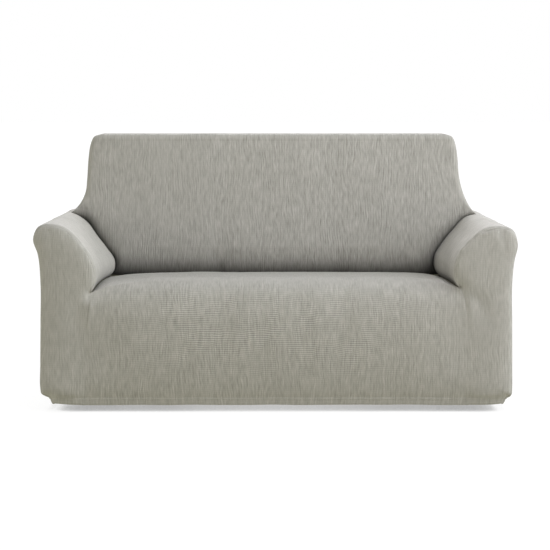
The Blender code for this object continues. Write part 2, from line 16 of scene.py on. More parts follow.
import bmesh
import bpy
import numpy as np
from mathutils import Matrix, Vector
from mathutils.bvhtree import BVHTree
from mathutils.kdtree import KDTree


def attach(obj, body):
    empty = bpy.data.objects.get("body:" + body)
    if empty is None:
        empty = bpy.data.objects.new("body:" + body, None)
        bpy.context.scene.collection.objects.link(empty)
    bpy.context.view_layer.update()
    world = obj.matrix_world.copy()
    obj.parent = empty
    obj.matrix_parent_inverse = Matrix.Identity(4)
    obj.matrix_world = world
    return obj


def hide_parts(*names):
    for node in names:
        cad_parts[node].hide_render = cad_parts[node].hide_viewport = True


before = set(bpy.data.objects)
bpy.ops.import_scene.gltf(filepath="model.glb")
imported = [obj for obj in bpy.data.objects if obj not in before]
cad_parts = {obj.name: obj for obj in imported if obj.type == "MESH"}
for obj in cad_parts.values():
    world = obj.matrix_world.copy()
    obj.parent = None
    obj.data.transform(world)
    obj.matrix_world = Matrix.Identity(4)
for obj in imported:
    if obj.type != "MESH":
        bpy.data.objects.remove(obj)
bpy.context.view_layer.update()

# ---- Driving dimensions ----

CLOTH = 0.0018  # thickness of the knit
SEAM_GAP = 0.0006  # clear space between two panels at their seam

REAR_DEEP = 0.880  # outer face of the back, at its top
REAR_LEAN = 0.015  # how much further forward its foot is
TOP_UP = 0.904  # highest line of the cover
FACE_DEEP = 0.585  # inside back, just above the seat
FACE_UP = 0.400
RECLINE = math.radians(12)
FACE_CROWN = 0.014  # pillow of the inside back
FACE_HALF = 0.66  # half the pillow's width
CROWN_FADE_LOW = 0.10  # over which height the pillow swells above the seat
CROWN_FADE_HIGH = 0.12  # and goes down again below the top

HEM_UP = 0.024
BASE_UP = 0.080  # below this the cloth turns in under the sofa's base
BASE_FADE = ((HEM_UP, 1.0), (0.045, 0.88), (0.053, 0.50), (0.061, 0.18), (BASE_UP, 0.0))
BASE_SOFTNESS = 0.005
FRONT_PULL = 0.016  # how far the hem is pulled in, in the middle of the front
CORNER_PULL = 0.026  # and at the four corners, round the sofa's feet
REAR_PULL = 0.030

FRONT_ROUND = 0.020  # radius of the arm's front edge
REAR_ROUND = 0.015  # and of the rear edge of arms and back
BACK_ROUND = 0.024  # radius of the inside back's upper edge
FRONT_SEAM_TURN = math.radians(50)  # where the seam lies round that edge
REAR_SEAM_TURN = math.radians(45)
SEAM_WIDTH = 0.004  # how far the arm's cloth is drawn to the front seam
ARM_FRONT_DOME = 0.007
ARM_FRONT_EDGE = {"left": 0.020, "right": 0.022}  # width of the dome's edge
DOME_FOOT = 0.10  # height above the base in which the dome's outer edge turns upright
LINE_REACH_LOW = 0.040  # how far the dome keeps from the line below the arm's inner side
LINE_REACH = 0.012  # and in the upper part
LINE_FADE = (0.30, 0.08)  # from which height up it does so, and over how much
CORNER_DEEP = 0.013  # where arm and seat part
CORNER_WIDTH = 0.020  # how far the arm's front seam is drawn in above that corner

CREVICE = 0.042  # depth of the fold where arm and back meet
CREVICE_OUT = 0.25  # how far it also goes into the arm, as a share of that
CREVICE_FADE = 0.05  # how gently it starts, down from the arm's crest
CREVICE_WIDTH = {"left": 0.026, "right": 0.014}  # over which the back is drawn into it
ARM_TUCK_WIDTH = 0.012  # and the arm
SEAT_CREVICE_WIDTH = 0.042  # over which the back is drawn into the fold with the seat
SLIT_WIDTH = 0.005  # of the narrow slit at the bottom of a fold
SLIT_SHARE = 0.5  # and its share of the fold's depth
TUCK_LIFT = {"left": 0.011, "right": 0.003}  # how much the seat's edge rises midway along the arm
TUCK_LIFT_WIDTH = 0.030
WING_FADE = 0.09  # how gently the back's rounded edge starts, up from the arm's crest

# The row's origin is under the cloth of the cover's top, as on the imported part.
ORIGIN = np.array([0.0, 0.790, 0.902])
FLOOR = -ORIGIN[2]


def table(columns, *rows):
    """Rows whose numbers are called by the names of their columns."""
    row_type = namedtuple("Row", columns)
    return [row_type(*row) for row in rows]


# ---- Sections ----

# The arm's section, from the hem outside, over the arm, to the seat, at its front and at its rear.
# "steps" is the share of faces from this row to the next.
ARM = table(
    "name steps left_front_out left_front_up left_rear_out left_rear_up"
    " right_front_out right_front_up right_rear_out right_rear_up",
    ("hem", 1, 0.740, 0.024, 0.742, 0.026, 0.759, 0.024, 0.755, 0.026),
    ("band_top", 1, 0.748, 0.044, 0.748, 0.045, 0.768, 0.043, 0.762, 0.045),
    ("under", 1, 0.762, 0.052, 0.761, 0.053, 0.779, 0.049, 0.773, 0.052),
    ("base_low", 1, 0.773, 0.061, 0.771, 0.061, 0.7835, 0.058, 0.780, 0.060),
    ("base", 1, 0.776, 0.080, 0.774, 0.080, 0.7845, 0.080, 0.782, 0.080),
    ("wall_low", 2, 0.7755, 0.150, 0.7735, 0.150, 0.784, 0.150, 0.7815, 0.150),
    ("wall", 3, 0.773, 0.300, 0.772, 0.300, 0.782, 0.300, 0.780, 0.300),
    ("waist", 2, 0.772, 0.430, 0.771, 0.430, 0.7805, 0.415, 0.778, 0.415),
    ("under_roll", 3, 0.780, 0.525, 0.778, 0.525, 0.787, 0.500, 0.784, 0.500),
    ("roll", 3, 0.7945, 0.577, 0.790, 0.575, 0.7975, 0.560, 0.792, 0.560),
    ("shoulder", 3, 0.775, 0.6175, 0.770, 0.614, 0.781, 0.605, 0.770, 0.602),
    ("crest", 3, 0.738, 0.6265, 0.7354, 0.6226, 0.727, 0.6195, 0.7236, 0.6175),
    ("slope_top", 2, 0.690, 0.615, 0.6877, 0.600, 0.684, 0.6095, 0.6876, 0.6093),
    ("slope_mid", 2, 0.640, 0.570, 0.6361, 0.5353, 0.640, 0.575, 0.642, 0.565),
    ("slope_low", 2, 0.607, 0.523, 0.606, 0.4974, 0.603, 0.530, 0.603, 0.518),
    ("belly", 2, 0.5885, 0.472, 0.575, 0.448, 0.588, 0.474, 0.5705, 0.462),
    ("under_belly", 1, 0.592, 0.430, 0.5785, 0.413, 0.593, 0.440, 0.573, 0.420),
    ("tuck", 0, 0.604, 0.398, 0.600, 0.388, 0.6065, 0.4135, 0.594, 0.391),
)

# The front from the hem up to the seat's front crest: its middle line, and the line below each
# arm's inner side, which ends at the top in the corner where arm and seat part.
FRONT = table(
    "name deep up side_left side_right side_deep side_up",
    ("hem", 0.016, 0.026, 0.612, 0.620, 0.016, 0.0255),
    ("band_top", 0.014, 0.045, 0.612, 0.620, 0.014, 0.045),
    ("under", 0.0105, 0.054, 0.613, 0.621, 0.0105, 0.054),
    ("base_low", 0.0065, 0.065, 0.614, 0.622, 0.0065, 0.065),
    ("base", 0.000, 0.092, 0.616, 0.624, 0.000, 0.092),
    ("wall", -0.0135, 0.190, 0.620, 0.630, -0.004, 0.190),
    ("nose_low", -0.0165, 0.280, 0.619, 0.631, -0.006, 0.280),
    ("nose", -0.009, 0.350, 0.614, 0.628, -0.004, 0.335),
    ("nose_top", 0.013, 0.404, 0.608, 0.622, 0.002, 0.373),
    ("crest", 0.062, 0.433, None, None, None, None),
)

# The seat's middle line behind the crest, down into the fold under the inside back.
DECK = table(
    "name deep up",
    ("thigh", 0.140, 0.4395),
    ("middle", 0.300, 0.434),
    ("hollow", 0.450, 0.424),
    ("lip", 0.555, 0.4140),
    ("fold", 0.606, 0.404),
    ("tuck", 0.640, 0.395),
)

# The seat falls from its middle line towards each arm in two parts, each a share of the fall and
# the power of the distance with which it comes.
SEAT_SIDE = {"left": ((0.32, 4), (0.68, 9)), "right": ((0.26, 4), (0.74, 17))}
APRON_SIDE = 0.72  # where the front starts to go over into the arm fronts, as a share of its half
DECK_FADE = (0.33, 0.09)  # from which height the front goes over into the seat, and over how much
CREASE_FADE = (0.02, 0.06)  # from which depth the front's creases end on the seat, likewise

# The outline of the back above the arms, from its foot on the arm's crest to the top.
BACK = table(
    "name steps left_out left_up right_out right_up",
    ("foot", 2, 0.7354, 0.6226, 0.7236, 0.6175),
    ("spread", 2, 0.7070, 0.6530, 0.6995, 0.6530),
    ("neck", 1, 0.6865, 0.6955, 0.6810, 0.6955),
    ("side_low", 2, 0.6815, 0.7450, 0.6690, 0.7450),
    ("side_high", 1, 0.6765, 0.8250, 0.6625, 0.8250),
    ("corner_low", 1, 0.6705, 0.8650, 0.6565, 0.8650),
    ("corner", 1, 0.6570, 0.8945, 0.6435, 0.8945),
    ("corner_top", 0, 0.6320, 0.9040, 0.6180, 0.9040),
)

# Soft creases of the stretched cloth. Each runs from one spot to another: from (u_a, v_a) to
# (u_b, v_b), which are (x, up) places here and spots across and along a panel's cloth in FOLDS. A
# depth below zero is a ridge.
CREASE = "u_a v_a u_b v_b depth_a depth_b width"
BACK_CREASES = table(
    CREASE,
    (-0.200, 0.390, -0.206, 0.500, 0.0100, 0.0, 0.022),
    (0.230, 0.390, 0.236, 0.490, 0.0090, 0.0, 0.022),
    (-0.200, 0.400, -0.180, 0.880, 0.0030, 0.001, 0.050),
    (0.230, 0.400, 0.220, 0.880, 0.0020, 0.001, 0.050),
)
FRONT_CREASES = table(
    CREASE,
    (-0.190, 0.090, -0.180, 0.360, 0.0010, 0.0035, 0.045),
    (-0.050, 0.090, -0.040, 0.350, 0.0005, 0.0025, 0.035),
    (0.095, 0.090, 0.085, 0.350, 0.0005, 0.0025, 0.040),
    (0.220, 0.090, 0.210, 0.360, 0.0010, 0.0035, 0.045),
    (-0.622, 0.260, -0.612, 0.355, 0.0, -0.0045, 0.014),
    (-0.655, 0.300, -0.650, 0.350, 0.0025, 0.0030, 0.025),
    (0.652, 0.280, 0.636, 0.370, -0.0010, -0.0045, 0.016),
    (0.700, 0.320, 0.672, 0.372, 0.0020, 0.0045, 0.022),
    (0.640, 0.440, 0.660, 0.520, -0.0060, -0.0030, 0.045),
)

# ---- Small forms, on the cloth ----

# Short folds and puckers that the solids leave out, on each panel's cloth.
FOLDS = {
    "front": table(
        CREASE,
        (-0.612, 0.352, -0.645, 0.300, -0.0016, 0.0, 0.007),
        (-0.618, 0.366, -0.668, 0.338, 0.0012, 0.0, 0.007),
        (-0.598, 0.350, -0.570, 0.296, -0.0012, 0.0, 0.008),
        (0.624, 0.356, 0.655, 0.302, -0.0016, 0.0, 0.008),
        (0.606, 0.352, 0.575, 0.300, -0.0012, 0.0, 0.008),
        (0.678, 0.584, 0.735, 0.597, 0.0042, 0.0020, 0.006),
        (0.684, 0.572, 0.735, 0.584, -0.0024, 0.0, 0.007),
        (0.745, 0.578, 0.752, 0.500, 0.0030, 0.0004, 0.012),
        (0.722, 0.560, 0.728, 0.480, -0.0015, 0.0, 0.012),
        (-0.740, 0.580, -0.720, 0.500, 0.0015, 0.0, 0.014),
        (-0.672, 0.585, -0.690, 0.520, 0.0014, 0.0, 0.010),
    ),
    "arm_right": table(
        CREASE,
        (0.012, 0.705, 0.040, 0.722, 0.0018, 0.0, 0.006),
        (0.010, 0.738, 0.050, 0.760, 0.0020, 0.0, 0.007),
        (0.010, 0.772, 0.060, 0.800, 0.0022, 0.0, 0.008),
        (0.016, 0.815, 0.075, 0.845, 0.0018, 0.0, 0.008),
    ),
    "arm_left": table(
        CREASE,
        (0.014, 0.790, 0.055, 0.822, 0.0014, 0.0, 0.008),
    ),
    "inside_back": table(
        CREASE,
        (-0.716, 0.642, -0.678, 0.634, 0.0020, 0.0008, 0.006),
        (0.705, 0.640, 0.672, 0.628, 0.0016, 0.0006, 0.006),
        (-0.600, 0.430, -0.545, 0.520, 0.0020, 0.0, 0.012),
        (0.590, 0.440, 0.535, 0.520, 0.0016, 0.0, 0.012),
    ),
}

# Smooth random humps: their size across and along the cloth, their height, and the seed.
Humps = namedtuple("Humps", "width length height seed")
CRINKLE = (Humps(0.024, 0.150, 0.00030, 11), Humps(0.014, 0.070, 0.00012, 12))
UNEVEN = Humps(0.130, 0.260, 0.0009, 13)
CALM = 0.02  # how far from a seam they start

GROOVE = 0.0014  # depth of the dip along a seam
GROOVE_WIDTH = 0.003

# Painted shade in the tight folds: the knit's colour is darkened close to each fold's bottom, where
# shade falls. Each row gives the panel and the fold, how much darker at the fold's start and at its
# end, by which share of the fold that is reached, over which distance from the fold it fades, and
# how suddenly.
PAINTED_FOLD_SHADE = table(
    "panel fold start end by reach power",
    ("inside_back", "seat_rear", 0.85, 0.85, 1, 0.065, 3),
    ("inside_back", "left_arm", 0.15, 0.75, 0.3, 0.040, 3),
    ("inside_back", "right_arm", 0, 0.88, 1, 0.047, 3),
    ("arm_left", "left_arm", 0, 0.70, 0.35, 0.045, 4),
    ("arm_right", "right_arm", 0, 0.85, 0.5, 0.062, 6),
    ("arm_right", "right_arm", 0.12, 0.68, 1, 0.115, 2),
    ("arm_left", "seat_left", 0, 0.75, 0.15, 0.029, 1.5),
    ("arm_right", "seat_right", 0, 0.88, 0.30, 0.032, 1.5),
    ("front", "seat_left", 0, 0.80, 0.15, 0.010, 1),
    ("front", "seat_right", 0, 0.88, 0.30, 0.011, 1),
)

HEM_DEEP = 0.0205  # height of the hem's casing, from its edge to its stitches
GATHER = Humps(0.016, 0.080, 0.0007, 14)  # gathers of the elastic hem
GATHER_REACH = 0.050
HEM_WAVE = Humps(0.090, 1.0, 0.0010, 15)  # how much the hem's edge goes up and down
CASING = 0.0018  # how far the elastic in the casing stands out
CASING_WIDTH = 0.005
RIDGE = 0.0022  # how far the stitched edge of the casing stands out
RIDGE_WIDTH = 0.0030
# The edge's turn, as steps in and up from the fold at the bottom of the hem.
TURN_STEPS = (
    (0.0006, -0.0007), (0.0019, -0.0011), (0.0032, -0.0007), (0.0038, 0.0004), (0.0038, 0.019)
)

STITCH = 0.0030  # length of one stitch
STITCH_PITCH = 0.0042
STITCH_SLIP = 0.00012  # how unevenly they sit
STITCH_SEED = 31
THREAD = 0.00030  # radius of the sewing thread
THREAD_SIDES = 6
STITCH_LIFTS = (-0.0001, 0.0003, -0.0001)  # its start, middle and end above the cloth

# How strongly the rows across the ribs show, which also sets how much painted light lightens the
# knit:
# little at the seat's ends, most in patches about the middle of the stretched front.
ROWS_ELSEWHERE = 0.05
ROWS_LEAST = 0.15
ROWS_MOST = 0.7
ROW_PATCHES = Humps(0.05, 0.04, 0.6, 21)
ROWS_AT = (-0.02, 0.25)  # across and along
ROWS_REACH = (0.42, 0.13)

# How strongly the ribs show on each panel, and how much less on parts of it. A part has its start
# across or along the cloth, and over how much it fades in.
RIBS = {"front": 0.88, "arm_left": 0.75, "arm_right": 1.0, "inside_back": 1.0, "outside_back": 1.0}
BACK_LEFT, BACK_LESS = (0.1, 0.3), 0.2
SEAT, SEAT_LESS = (0.40, 0.05), 0.28
ARM_FRONTS, ARM_FRONT_LESS = (0.53, 0.08), 0.30
ARM_FRONTS_HIGH, ARM_FRONT_LESS_LOW = (0.12, 0.14), 0.12

# ---- Sampling ----

DETAIL = 4  # every stretch between two rows is cut into this many times its steps
NEAR_SEAM = (0, 0.0012, 0.003, 0.0055, 0.009, 0.014)  # lines beside a seam
ACROSS_FACES = 240
CLOSER_AT_SIDES = 0.35  # how much closer the lines stand there
ARM_FACES = 100
ARM_START = 0.020  # where they begin, behind the front seam's own lines
ARM_REACH = 0.605  # and how far they go
ARM_FRONT_FACES = 18
DECK_DETAIL = 12  # steps of each stretch of the seat
EDGE_FACES = 8
BACK_DEPTH_FACES = 20
REAR_EDGE_FACES = 4
RIM_SOFTENING = 4  # over how many lines each way the rim's directions are evened out
REAR_SKIP = 2  # the outside back is plain, so it needs only every other line
BASE_SPOTS = 7  # heights over which the turn under the base is evened out
FOLD_DETAIL = 6  # how much more finely a fold's line is looked up
LATTICE = 128  # random numbers each way behind the humps
SAME_SPOT = 2e-5  # points closer than this are one
ON_HEM = 1e-4  # and so close to the hem they lie on it

SIDES = {"left": -1, "right": 1}

# Each panel's cloth as it was cut: width and length of the rectangle round it, and its area. The
# knit is cut about a tenth smaller each way than it is worn.
Cut = namedtuple("Cut", "width length area")

# A grid of points, with each point's coordinates across and along the panel's cloth.
Grid = namedtuple("Grid", "points across along")


# ---- Curves and blends ----


def smooth(points, steps):
    """Points on a smooth curve through the given ones, with steps[i] stretches after point i."""
    p = np.asarray(points, float)
    span = np.linalg.norm(np.diff(p, axis=0), axis=1)[:, None]
    slope = np.diff(p, axis=0) / span
    between = (slope[:-1] * span[1:] + slope[1:] * span[:-1]) / (span[:-1] + span[1:])
    tangent = np.vstack([slope[:1], between, slope[-1:]])
    found = [p[:1]]
    for i, count in enumerate(steps):
        t = np.arange(1, count * DETAIL + 1)[:, None] / (count * DETAIL)
        found.append(
            (2 * t**3 - 3 * t**2 + 1) * p[i]
            + (t**3 - 2 * t**2 + t) * span[i] * tangent[i]
            + (3 * t**2 - 2 * t**3) * p[i + 1]
            + (t**3 - t**2) * span[i] * tangent[i + 1]
        )
    return np.vstack(found)


def unit(vectors):
    """Vectors with the same directions and a length of 1."""
    return vectors / np.linalg.norm(vectors, axis=-1, keepdims=True)


def inward(line):
    """Unit normals of an (out, up) line that climbs outside and comes down inside."""
    step = np.gradient(line, axis=0)
    return unit(np.stack([-step[:, 1], step[:, 0]], axis=1))


def at_depth(places, deep):
    """The points at these (x, up) places and depths."""
    return np.stack([places[..., 0], deep, places[..., 1]], axis=-1)


def distance_along(line):
    """Distance of each point of a line from its first, along it, or so in every grid column."""
    steps = np.linalg.norm(np.diff(line, axis=0), axis=-1)
    return np.concatenate([0 * steps[:1], np.cumsum(steps, axis=0)])


def distance_left(line):
    """Distance of each point of a line from its last, along the line."""
    far = distance_along(line)
    return far[-1] - far


def points_at(where, far, line):
    """Points of a line at these values of a number that grows along it."""
    return np.stack([np.interp(where, far, line[:, axis]) for axis in range(3)], axis=-1)


def fading(distance, reach):
    """1 at no distance, and near 0 past the reach."""
    return np.exp(-distance / reach)


def bell(distance, width):
    """1 at no distance, with a round top, and near 0 past the width."""
    return np.exp(-((distance / width) ** 2))


def soft_step(value, start=0, over=1):
    """0 up to the start and 1 past this distance over it, level at both ends."""
    share = np.clip((value - start) / over, 0, 1)
    return share * share * (3 - 2 * share)


def nearest(places, seam):
    """For each place, how far a line of points is, and its nearest point."""
    start, step = seam[:-1], np.diff(seam, axis=0)
    flat_start, flat_step = start[:, [0, 2]], step[:, [0, 2]]
    gaps, points = [], []
    for row in places.reshape(-1, places.shape[-2], 2):
        off = row[:, None] - flat_start
        share = (off * flat_step).sum(-1) / np.maximum((flat_step**2).sum(-1), 1e-12)
        share = np.clip(share, 0, 1)
        gap = np.linalg.norm(off - share[..., None] * flat_step, axis=-1)
        best = gap.argmin(axis=1)
        which = np.arange(len(row))
        gaps.append(gap[which, best])
        points.append(start[best] + share[which, best][:, None] * step[best])
    shape = places.shape[:-1]
    return np.array(gaps).reshape(shape), np.array(points).reshape(shape + (3,))


def finder(points):
    """A tree that finds the nearest of these points."""
    tree = KDTree(len(points))
    for i, point in enumerate(points):
        tree.insert(point, i)
    tree.balance()
    return tree


def gap_to(places, line):
    """For each place, how far a line of points is in space, and at which share of the line."""
    steps = np.linspace(0, len(line) - 1, FOLD_DETAIL * len(line))
    tree = finder(points_at(steps, np.arange(len(line)), line))
    found = [tree.find(place) for place in places]
    share = np.array([i for _, i, _ in found]) / (len(steps) - 1)
    return np.array([gap for _, _, gap in found]), share


def humps(kind, across, along):
    """The height of smooth random humps at spots of the cloth, the same ones each time."""
    lattice = np.random.default_rng(kind.seed).uniform(-1, 1, (LATTICE, LATTICE))
    i, share_i = np.divmod(across / kind.width + LATTICE // 2, 1)
    j, share_j = np.divmod(along / kind.length + LATTICE // 2, 1)
    i, j = i.astype(int) % (LATTICE - 1), j.astype(int) % (LATTICE - 1)
    share_i, share_j = soft_step(share_i), soft_step(share_j)
    low = lattice[i, j] * (1 - share_i) + lattice[i + 1, j] * share_i
    high = lattice[i, j + 1] * (1 - share_i) + lattice[i + 1, j + 1] * share_i
    return kind.height * (low * (1 - share_j) + high * share_j)


# ---- Depth of the surfaces that face forwards and backwards ----


def base_pull(up):
    """Share of the pull under the base, from 0 on the wall to 1 at the hem."""
    around = np.linspace(-BASE_SOFTNESS, BASE_SOFTNESS, BASE_SPOTS)
    return sum(np.interp(up + off, *zip(*BASE_FADE)) for off in around) / len(around)


def crease_depth(u, v, creases):
    """Depth of the soft creases at a place, or at a spot of the cloth."""
    total = np.zeros(np.broadcast(u, v).shape)
    for c in creases:
        run_u, run_v = c.u_b - c.u_a, c.v_b - c.v_a
        share = ((u - c.u_a) * run_u + (v - c.v_a) * run_v) / (run_u**2 + run_v**2)
        share = np.clip(share, 0, 1)
        off_u = u - c.u_a - share * run_u
        off_v = v - c.v_a - share * run_v
        depth = c.depth_a + (c.depth_b - c.depth_a) * share
        total += depth * np.exp(-(off_u**2 + off_v**2) / c.width**2)
    return total


def face_deep(x, up):
    """Depth of the inside back's face, before it turns into a fold or over an edge."""
    climb = up - FACE_UP
    pillow = np.clip(1 - (x / FACE_HALF) ** 2, 0, 1) * np.clip(climb / CROWN_FADE_LOW, 0, 1)
    pillow = pillow * np.clip((TOP_UP - up) / CROWN_FADE_HIGH, 0, 1) ** 0.5
    plane = FACE_DEEP + climb * math.tan(RECLINE)
    return plane - FACE_CROWN * pillow + crease_depth(x, up, BACK_CREASES)


def folded_face(places, folds, seat_rear=None):
    """Depth of the inside back's face, drawn back into the folds with the arms and the seat."""
    seams = [(folds[side], CREVICE_WIDTH[side]) for side in SIDES]
    if seat_rear is not None:
        seams.append((seat_rear, SEAT_CREVICE_WIDTH))
    deep = face_deep(places[..., 0], places[..., 1])
    drawn = np.zeros_like(deep)
    for seam, width in seams:
        gap, at = nearest(places, seam)
        off = at[..., 1] - face_deep(at[..., 0], at[..., 2])
        shape = (1 - SLIT_SHARE) * fading(gap, width) + SLIT_SHARE * fading(gap, SLIT_WIDTH)
        drawn = np.maximum(drawn, off * shape)
    return deep + drawn


def rear_deep(up):
    """Depth of the outside back, before it turns in at an edge."""
    return REAR_DEEP - REAR_LEAN * (1 - up / TOP_UP) - REAR_PULL * base_pull(up)


# ---- One arm ----

ARM_STEPS = [row.steps for row in ARM[:-1]]
CREST = DETAIL * sum(ARM_STEPS[: [row.name for row in ARM].index("crest")])
SEAM_DEEP = FRONT_ROUND * (1 - math.sin(FRONT_SEAM_TURN))
ARM_SHARES = np.concatenate([NEAR_SEAM, np.linspace(ARM_START, ARM_REACH, ARM_FACES)]) / ARM_REACH


def arm_line(side, end):
    """The arm's section at its "front" or "rear" end, as an (out, up) line."""
    out, up = f"{side}_{end}_out", f"{side}_{end}_up"
    return smooth([(getattr(row, out), getattr(row, up)) for row in ARM], ARM_STEPS)


def front_ring(side):
    """The seam round the arm's front, from the hem outside to the corner with the seat."""
    line = arm_line(side, "front")
    near_corner = fading(distance_left(line), CORNER_WIDTH)
    inset = FRONT_ROUND * (1 - math.cos(FRONT_SEAM_TURN)) * (1 - near_corner)
    seam = line + inward(line) * inset[:, None]
    deep = SEAM_DEEP + (CORNER_DEEP - SEAM_DEEP) * near_corner
    deep += CORNER_PULL * base_pull(line[:, 1])
    return at_depth(seam, deep)


def back_crevice(side):
    """The fold between arm and inside back, from the arm's crest down to the seat."""
    rear = arm_line(side, "rear")
    line = rear[CREST:]
    fold = CREVICE * (1 - fading(distance_along(line), CREVICE_FADE))
    seam = line + inward(rear)[CREST:] * fold[:, None] * CREVICE_OUT
    deep = face_deep(SIDES[side] * line[:, 0], line[:, 1]) + fold
    return at_depth(seam, deep)


def edge_inset(distance, radius, turn):
    """How far a rounded edge stands in, at this distance from the seam that lies on it."""
    setback = np.minimum(radius * (1 - math.sin(turn)) + distance, radius)
    return radius - np.sqrt(radius**2 - (radius - setback) ** 2)


def arm_grids(side, foot_deeps):
    """The inner and outer half of an arm panel, as grids of (out, deep, up).

    Rows run from front to rear and columns along the section. foot_deeps gives the depths of the
    rows behind the inside back's foot, where only the outer half goes on to the rear."""
    front, rear = arm_line(side, "front"), arm_line(side, "rear")
    ring, fold = front_ring(side), back_crevice(side)
    foot = fold[0, 1]
    inner, outer = [], []
    for share in ARM_SHARES:
        deep = ring[:, 1] + (foot - ring[:, 1]) * share
        deep[CREST:] = ring[CREST:, 1] + (fold[:, 1] - ring[CREST:, 1]) * share
        from_ring = deep - ring[:, 1]
        section = front + (rear - front) * np.clip(deep / foot, 0, 1)[:, None]
        section += inward(section) * edge_inset(from_ring, FRONT_ROUND, FRONT_SEAM_TURN)[:, None]
        section += (ring[:, [0, 2]] - section) * fading(from_ring, SEAM_WIDTH)[:, None]
        near_fold = fading(fold[:, 1] - deep[CREST:], ARM_TUCK_WIDTH)[:, None]
        section[CREST:] += (fold[:, [0, 2]] - section[CREST:]) * near_fold
        lift = 4 * TUCK_LIFT[side] * share * (1 - share)
        section[:, 1] += lift * bell(distance_left(section), TUCK_LIFT_WIDTH)
        grid = at_depth(section, deep)
        inner.append(grid[CREST:])
        outer.append(grid[: CREST + 1])
    inner[0], outer[0] = ring[CREST:], ring[: CREST + 1]
    inner[-1], outer[-1][-1] = fold, fold[0]
    line = rear[: CREST + 1]
    seam_deep = rear_deep(line[:, 1]) - REAR_ROUND * (1 - math.sin(REAR_SEAM_TURN))
    for foot_deep in foot_deeps:
        share = (foot_deep - foot) / (foot_deeps[-1] - foot)
        deep = foot + (seam_deep - foot) * share
        inset = edge_inset(seam_deep - deep, REAR_ROUND, REAR_SEAM_TURN)
        inset *= 1 - fading(distance_left(line), CORNER_WIDTH)
        outer.append(at_depth(line + inward(rear)[: CREST + 1] * inset[:, None], deep))
    return np.array(inner), np.array(outer)


# ---- The back ----

BACK_SIDE = DETAIL * sum(row.steps for row in BACK)


def shares_across():
    """Places across the seat and back, from 0 at the left to 1 at the right."""
    even = np.linspace(0, 1, ACROSS_FACES + 1)
    return even - CLOSER_AT_SIDES * np.sin(2 * math.pi * even) / (2 * math.pi)


def back_outline():
    """The outline of the back above the arms, foot to foot over the top, as (x, up)."""
    steps = [row.steps for row in BACK[:-1]]
    left = smooth([(-row.left_out, row.left_up) for row in BACK], steps)
    right = smooth([(row.right_out, row.right_up) for row in BACK], steps)
    top = left[-1] + (right[-1] - left[-1]) * shares_across()[1:-1, None]
    return np.vstack([left, top, right[::-1]])


def rim_rows(folds):
    """The strip over the top and down both sides of the back, from its face to the rear seam,
    with the way in which each of its lines runs over the edge, as seen from the front."""
    line = back_outline()
    step = np.gradient(line, axis=0)
    step[BACK_SIDE:-BACK_SIDE] = (1, 0)
    normal = unit(np.stack([step[:, 1], -step[:, 0]], axis=1))
    padded = np.pad(normal, ((RIM_SOFTENING, RIM_SOFTENING), (0, 0)), mode="edge")
    normal = unit(sum(padded[i : i + len(line)] for i in range(2 * RIM_SOFTENING + 1)))
    from_foot = np.minimum(distance_along(line), distance_left(line))
    full = soft_step(from_foot, 0, WING_FADE)[:, None]
    on_face = line + normal * BACK_ROUND * full
    face = folded_face(on_face[None], folds)[0]
    rows = []
    for turn in np.linspace(0, math.pi / 2, EDGE_FACES + 1):
        place = line + normal * BACK_ROUND * (1 - math.sin(turn)) * full
        rows.append((place, face + BACK_ROUND * (1 - math.cos(turn))))
    start = rows[-1][1]
    end = rear_deep(line[:, 1]) - REAR_ROUND
    for share in np.linspace(0, 1, BACK_DEPTH_FACES + 1)[1:]:
        rows.append((line, start + (end - start) * share))
    for turn in np.linspace(0, REAR_SEAM_TURN, REAR_EDGE_FACES + 1)[1:]:
        place = line + normal * REAR_ROUND * (1 - math.cos(turn)) * full
        rows.append((place, end + REAR_ROUND * math.sin(turn)))
    return np.array([at_depth(place, deep) for place, deep in rows]), -normal


def panel_between(left, right, bottom, top):
    """Places of a panel whose four sides are given as points, as a grid of rows going up."""
    left, right, bottom, top = (side[:, [0, 2]] for side in (left, right, bottom, top))
    u = shares_across()[None, :, None]
    climb_left = (left[:, 1] - left[0, 1]) / (left[-1, 1] - left[0, 1])
    climb_right = (right[:, 1] - right[0, 1]) / (right[-1, 1] - right[0, 1])
    v = ((climb_left + climb_right) / 2)[:, None, None]
    sides = left[:, None] * (1 - u) + right[:, None] * u
    ends = bottom[None] * (1 - v) + top[None] * v
    low = left[0] * (1 - u) + right[0] * u
    high = left[-1] * (1 - u) + right[-1] * u
    return sides + ends - low * (1 - v) - high * v


def sides_and_top(low_left, low_right, edge):
    """A back panel's left and right side and its top, from the lower parts of its sides and the
    line over the back, foot to foot."""
    left = np.vstack([low_left, edge[1 : BACK_SIDE + 1]])
    right = np.vstack([low_right, edge[::-1][1 : BACK_SIDE + 1]])
    return left, right, edge[BACK_SIDE:-BACK_SIDE]


def inside_back_face(rim, folds, seat_rear):
    """The points of the inside back's face, between the seat, the arms and the rim."""
    left, right, top = sides_and_top(folds["left"][::-1], folds["right"][::-1], rim[0])
    place = panel_between(left, right, seat_rear, top)
    grid = at_depth(place, folded_face(place, folds, seat_rear))
    grid[:, 0], grid[:, -1], grid[0], grid[-1] = left, right, seat_rear, top
    return grid


def outside_back(rim, arms):
    """The points of the outside back, from the hem to the rear seam over the top."""
    left, right, top = sides_and_top(arms["left"][-1], arms["right"][-1], rim[-1])
    bottom = left[0] + (right[0] - left[0]) * shares_across()[:, None]
    place = panel_between(left, right, bottom, top)
    gap, at = nearest(place, np.vstack([left, top, right[::-1]]))
    off = at[..., 1] - rear_deep(at[..., 2])
    deep = rear_deep(place[..., 1]) + off * fading(gap, REAR_ROUND / 2)
    grid = at_depth(place, deep)
    grid[:, 0], grid[:, -1], grid[-1] = left, right, top
    return grid


# ---- The front ----


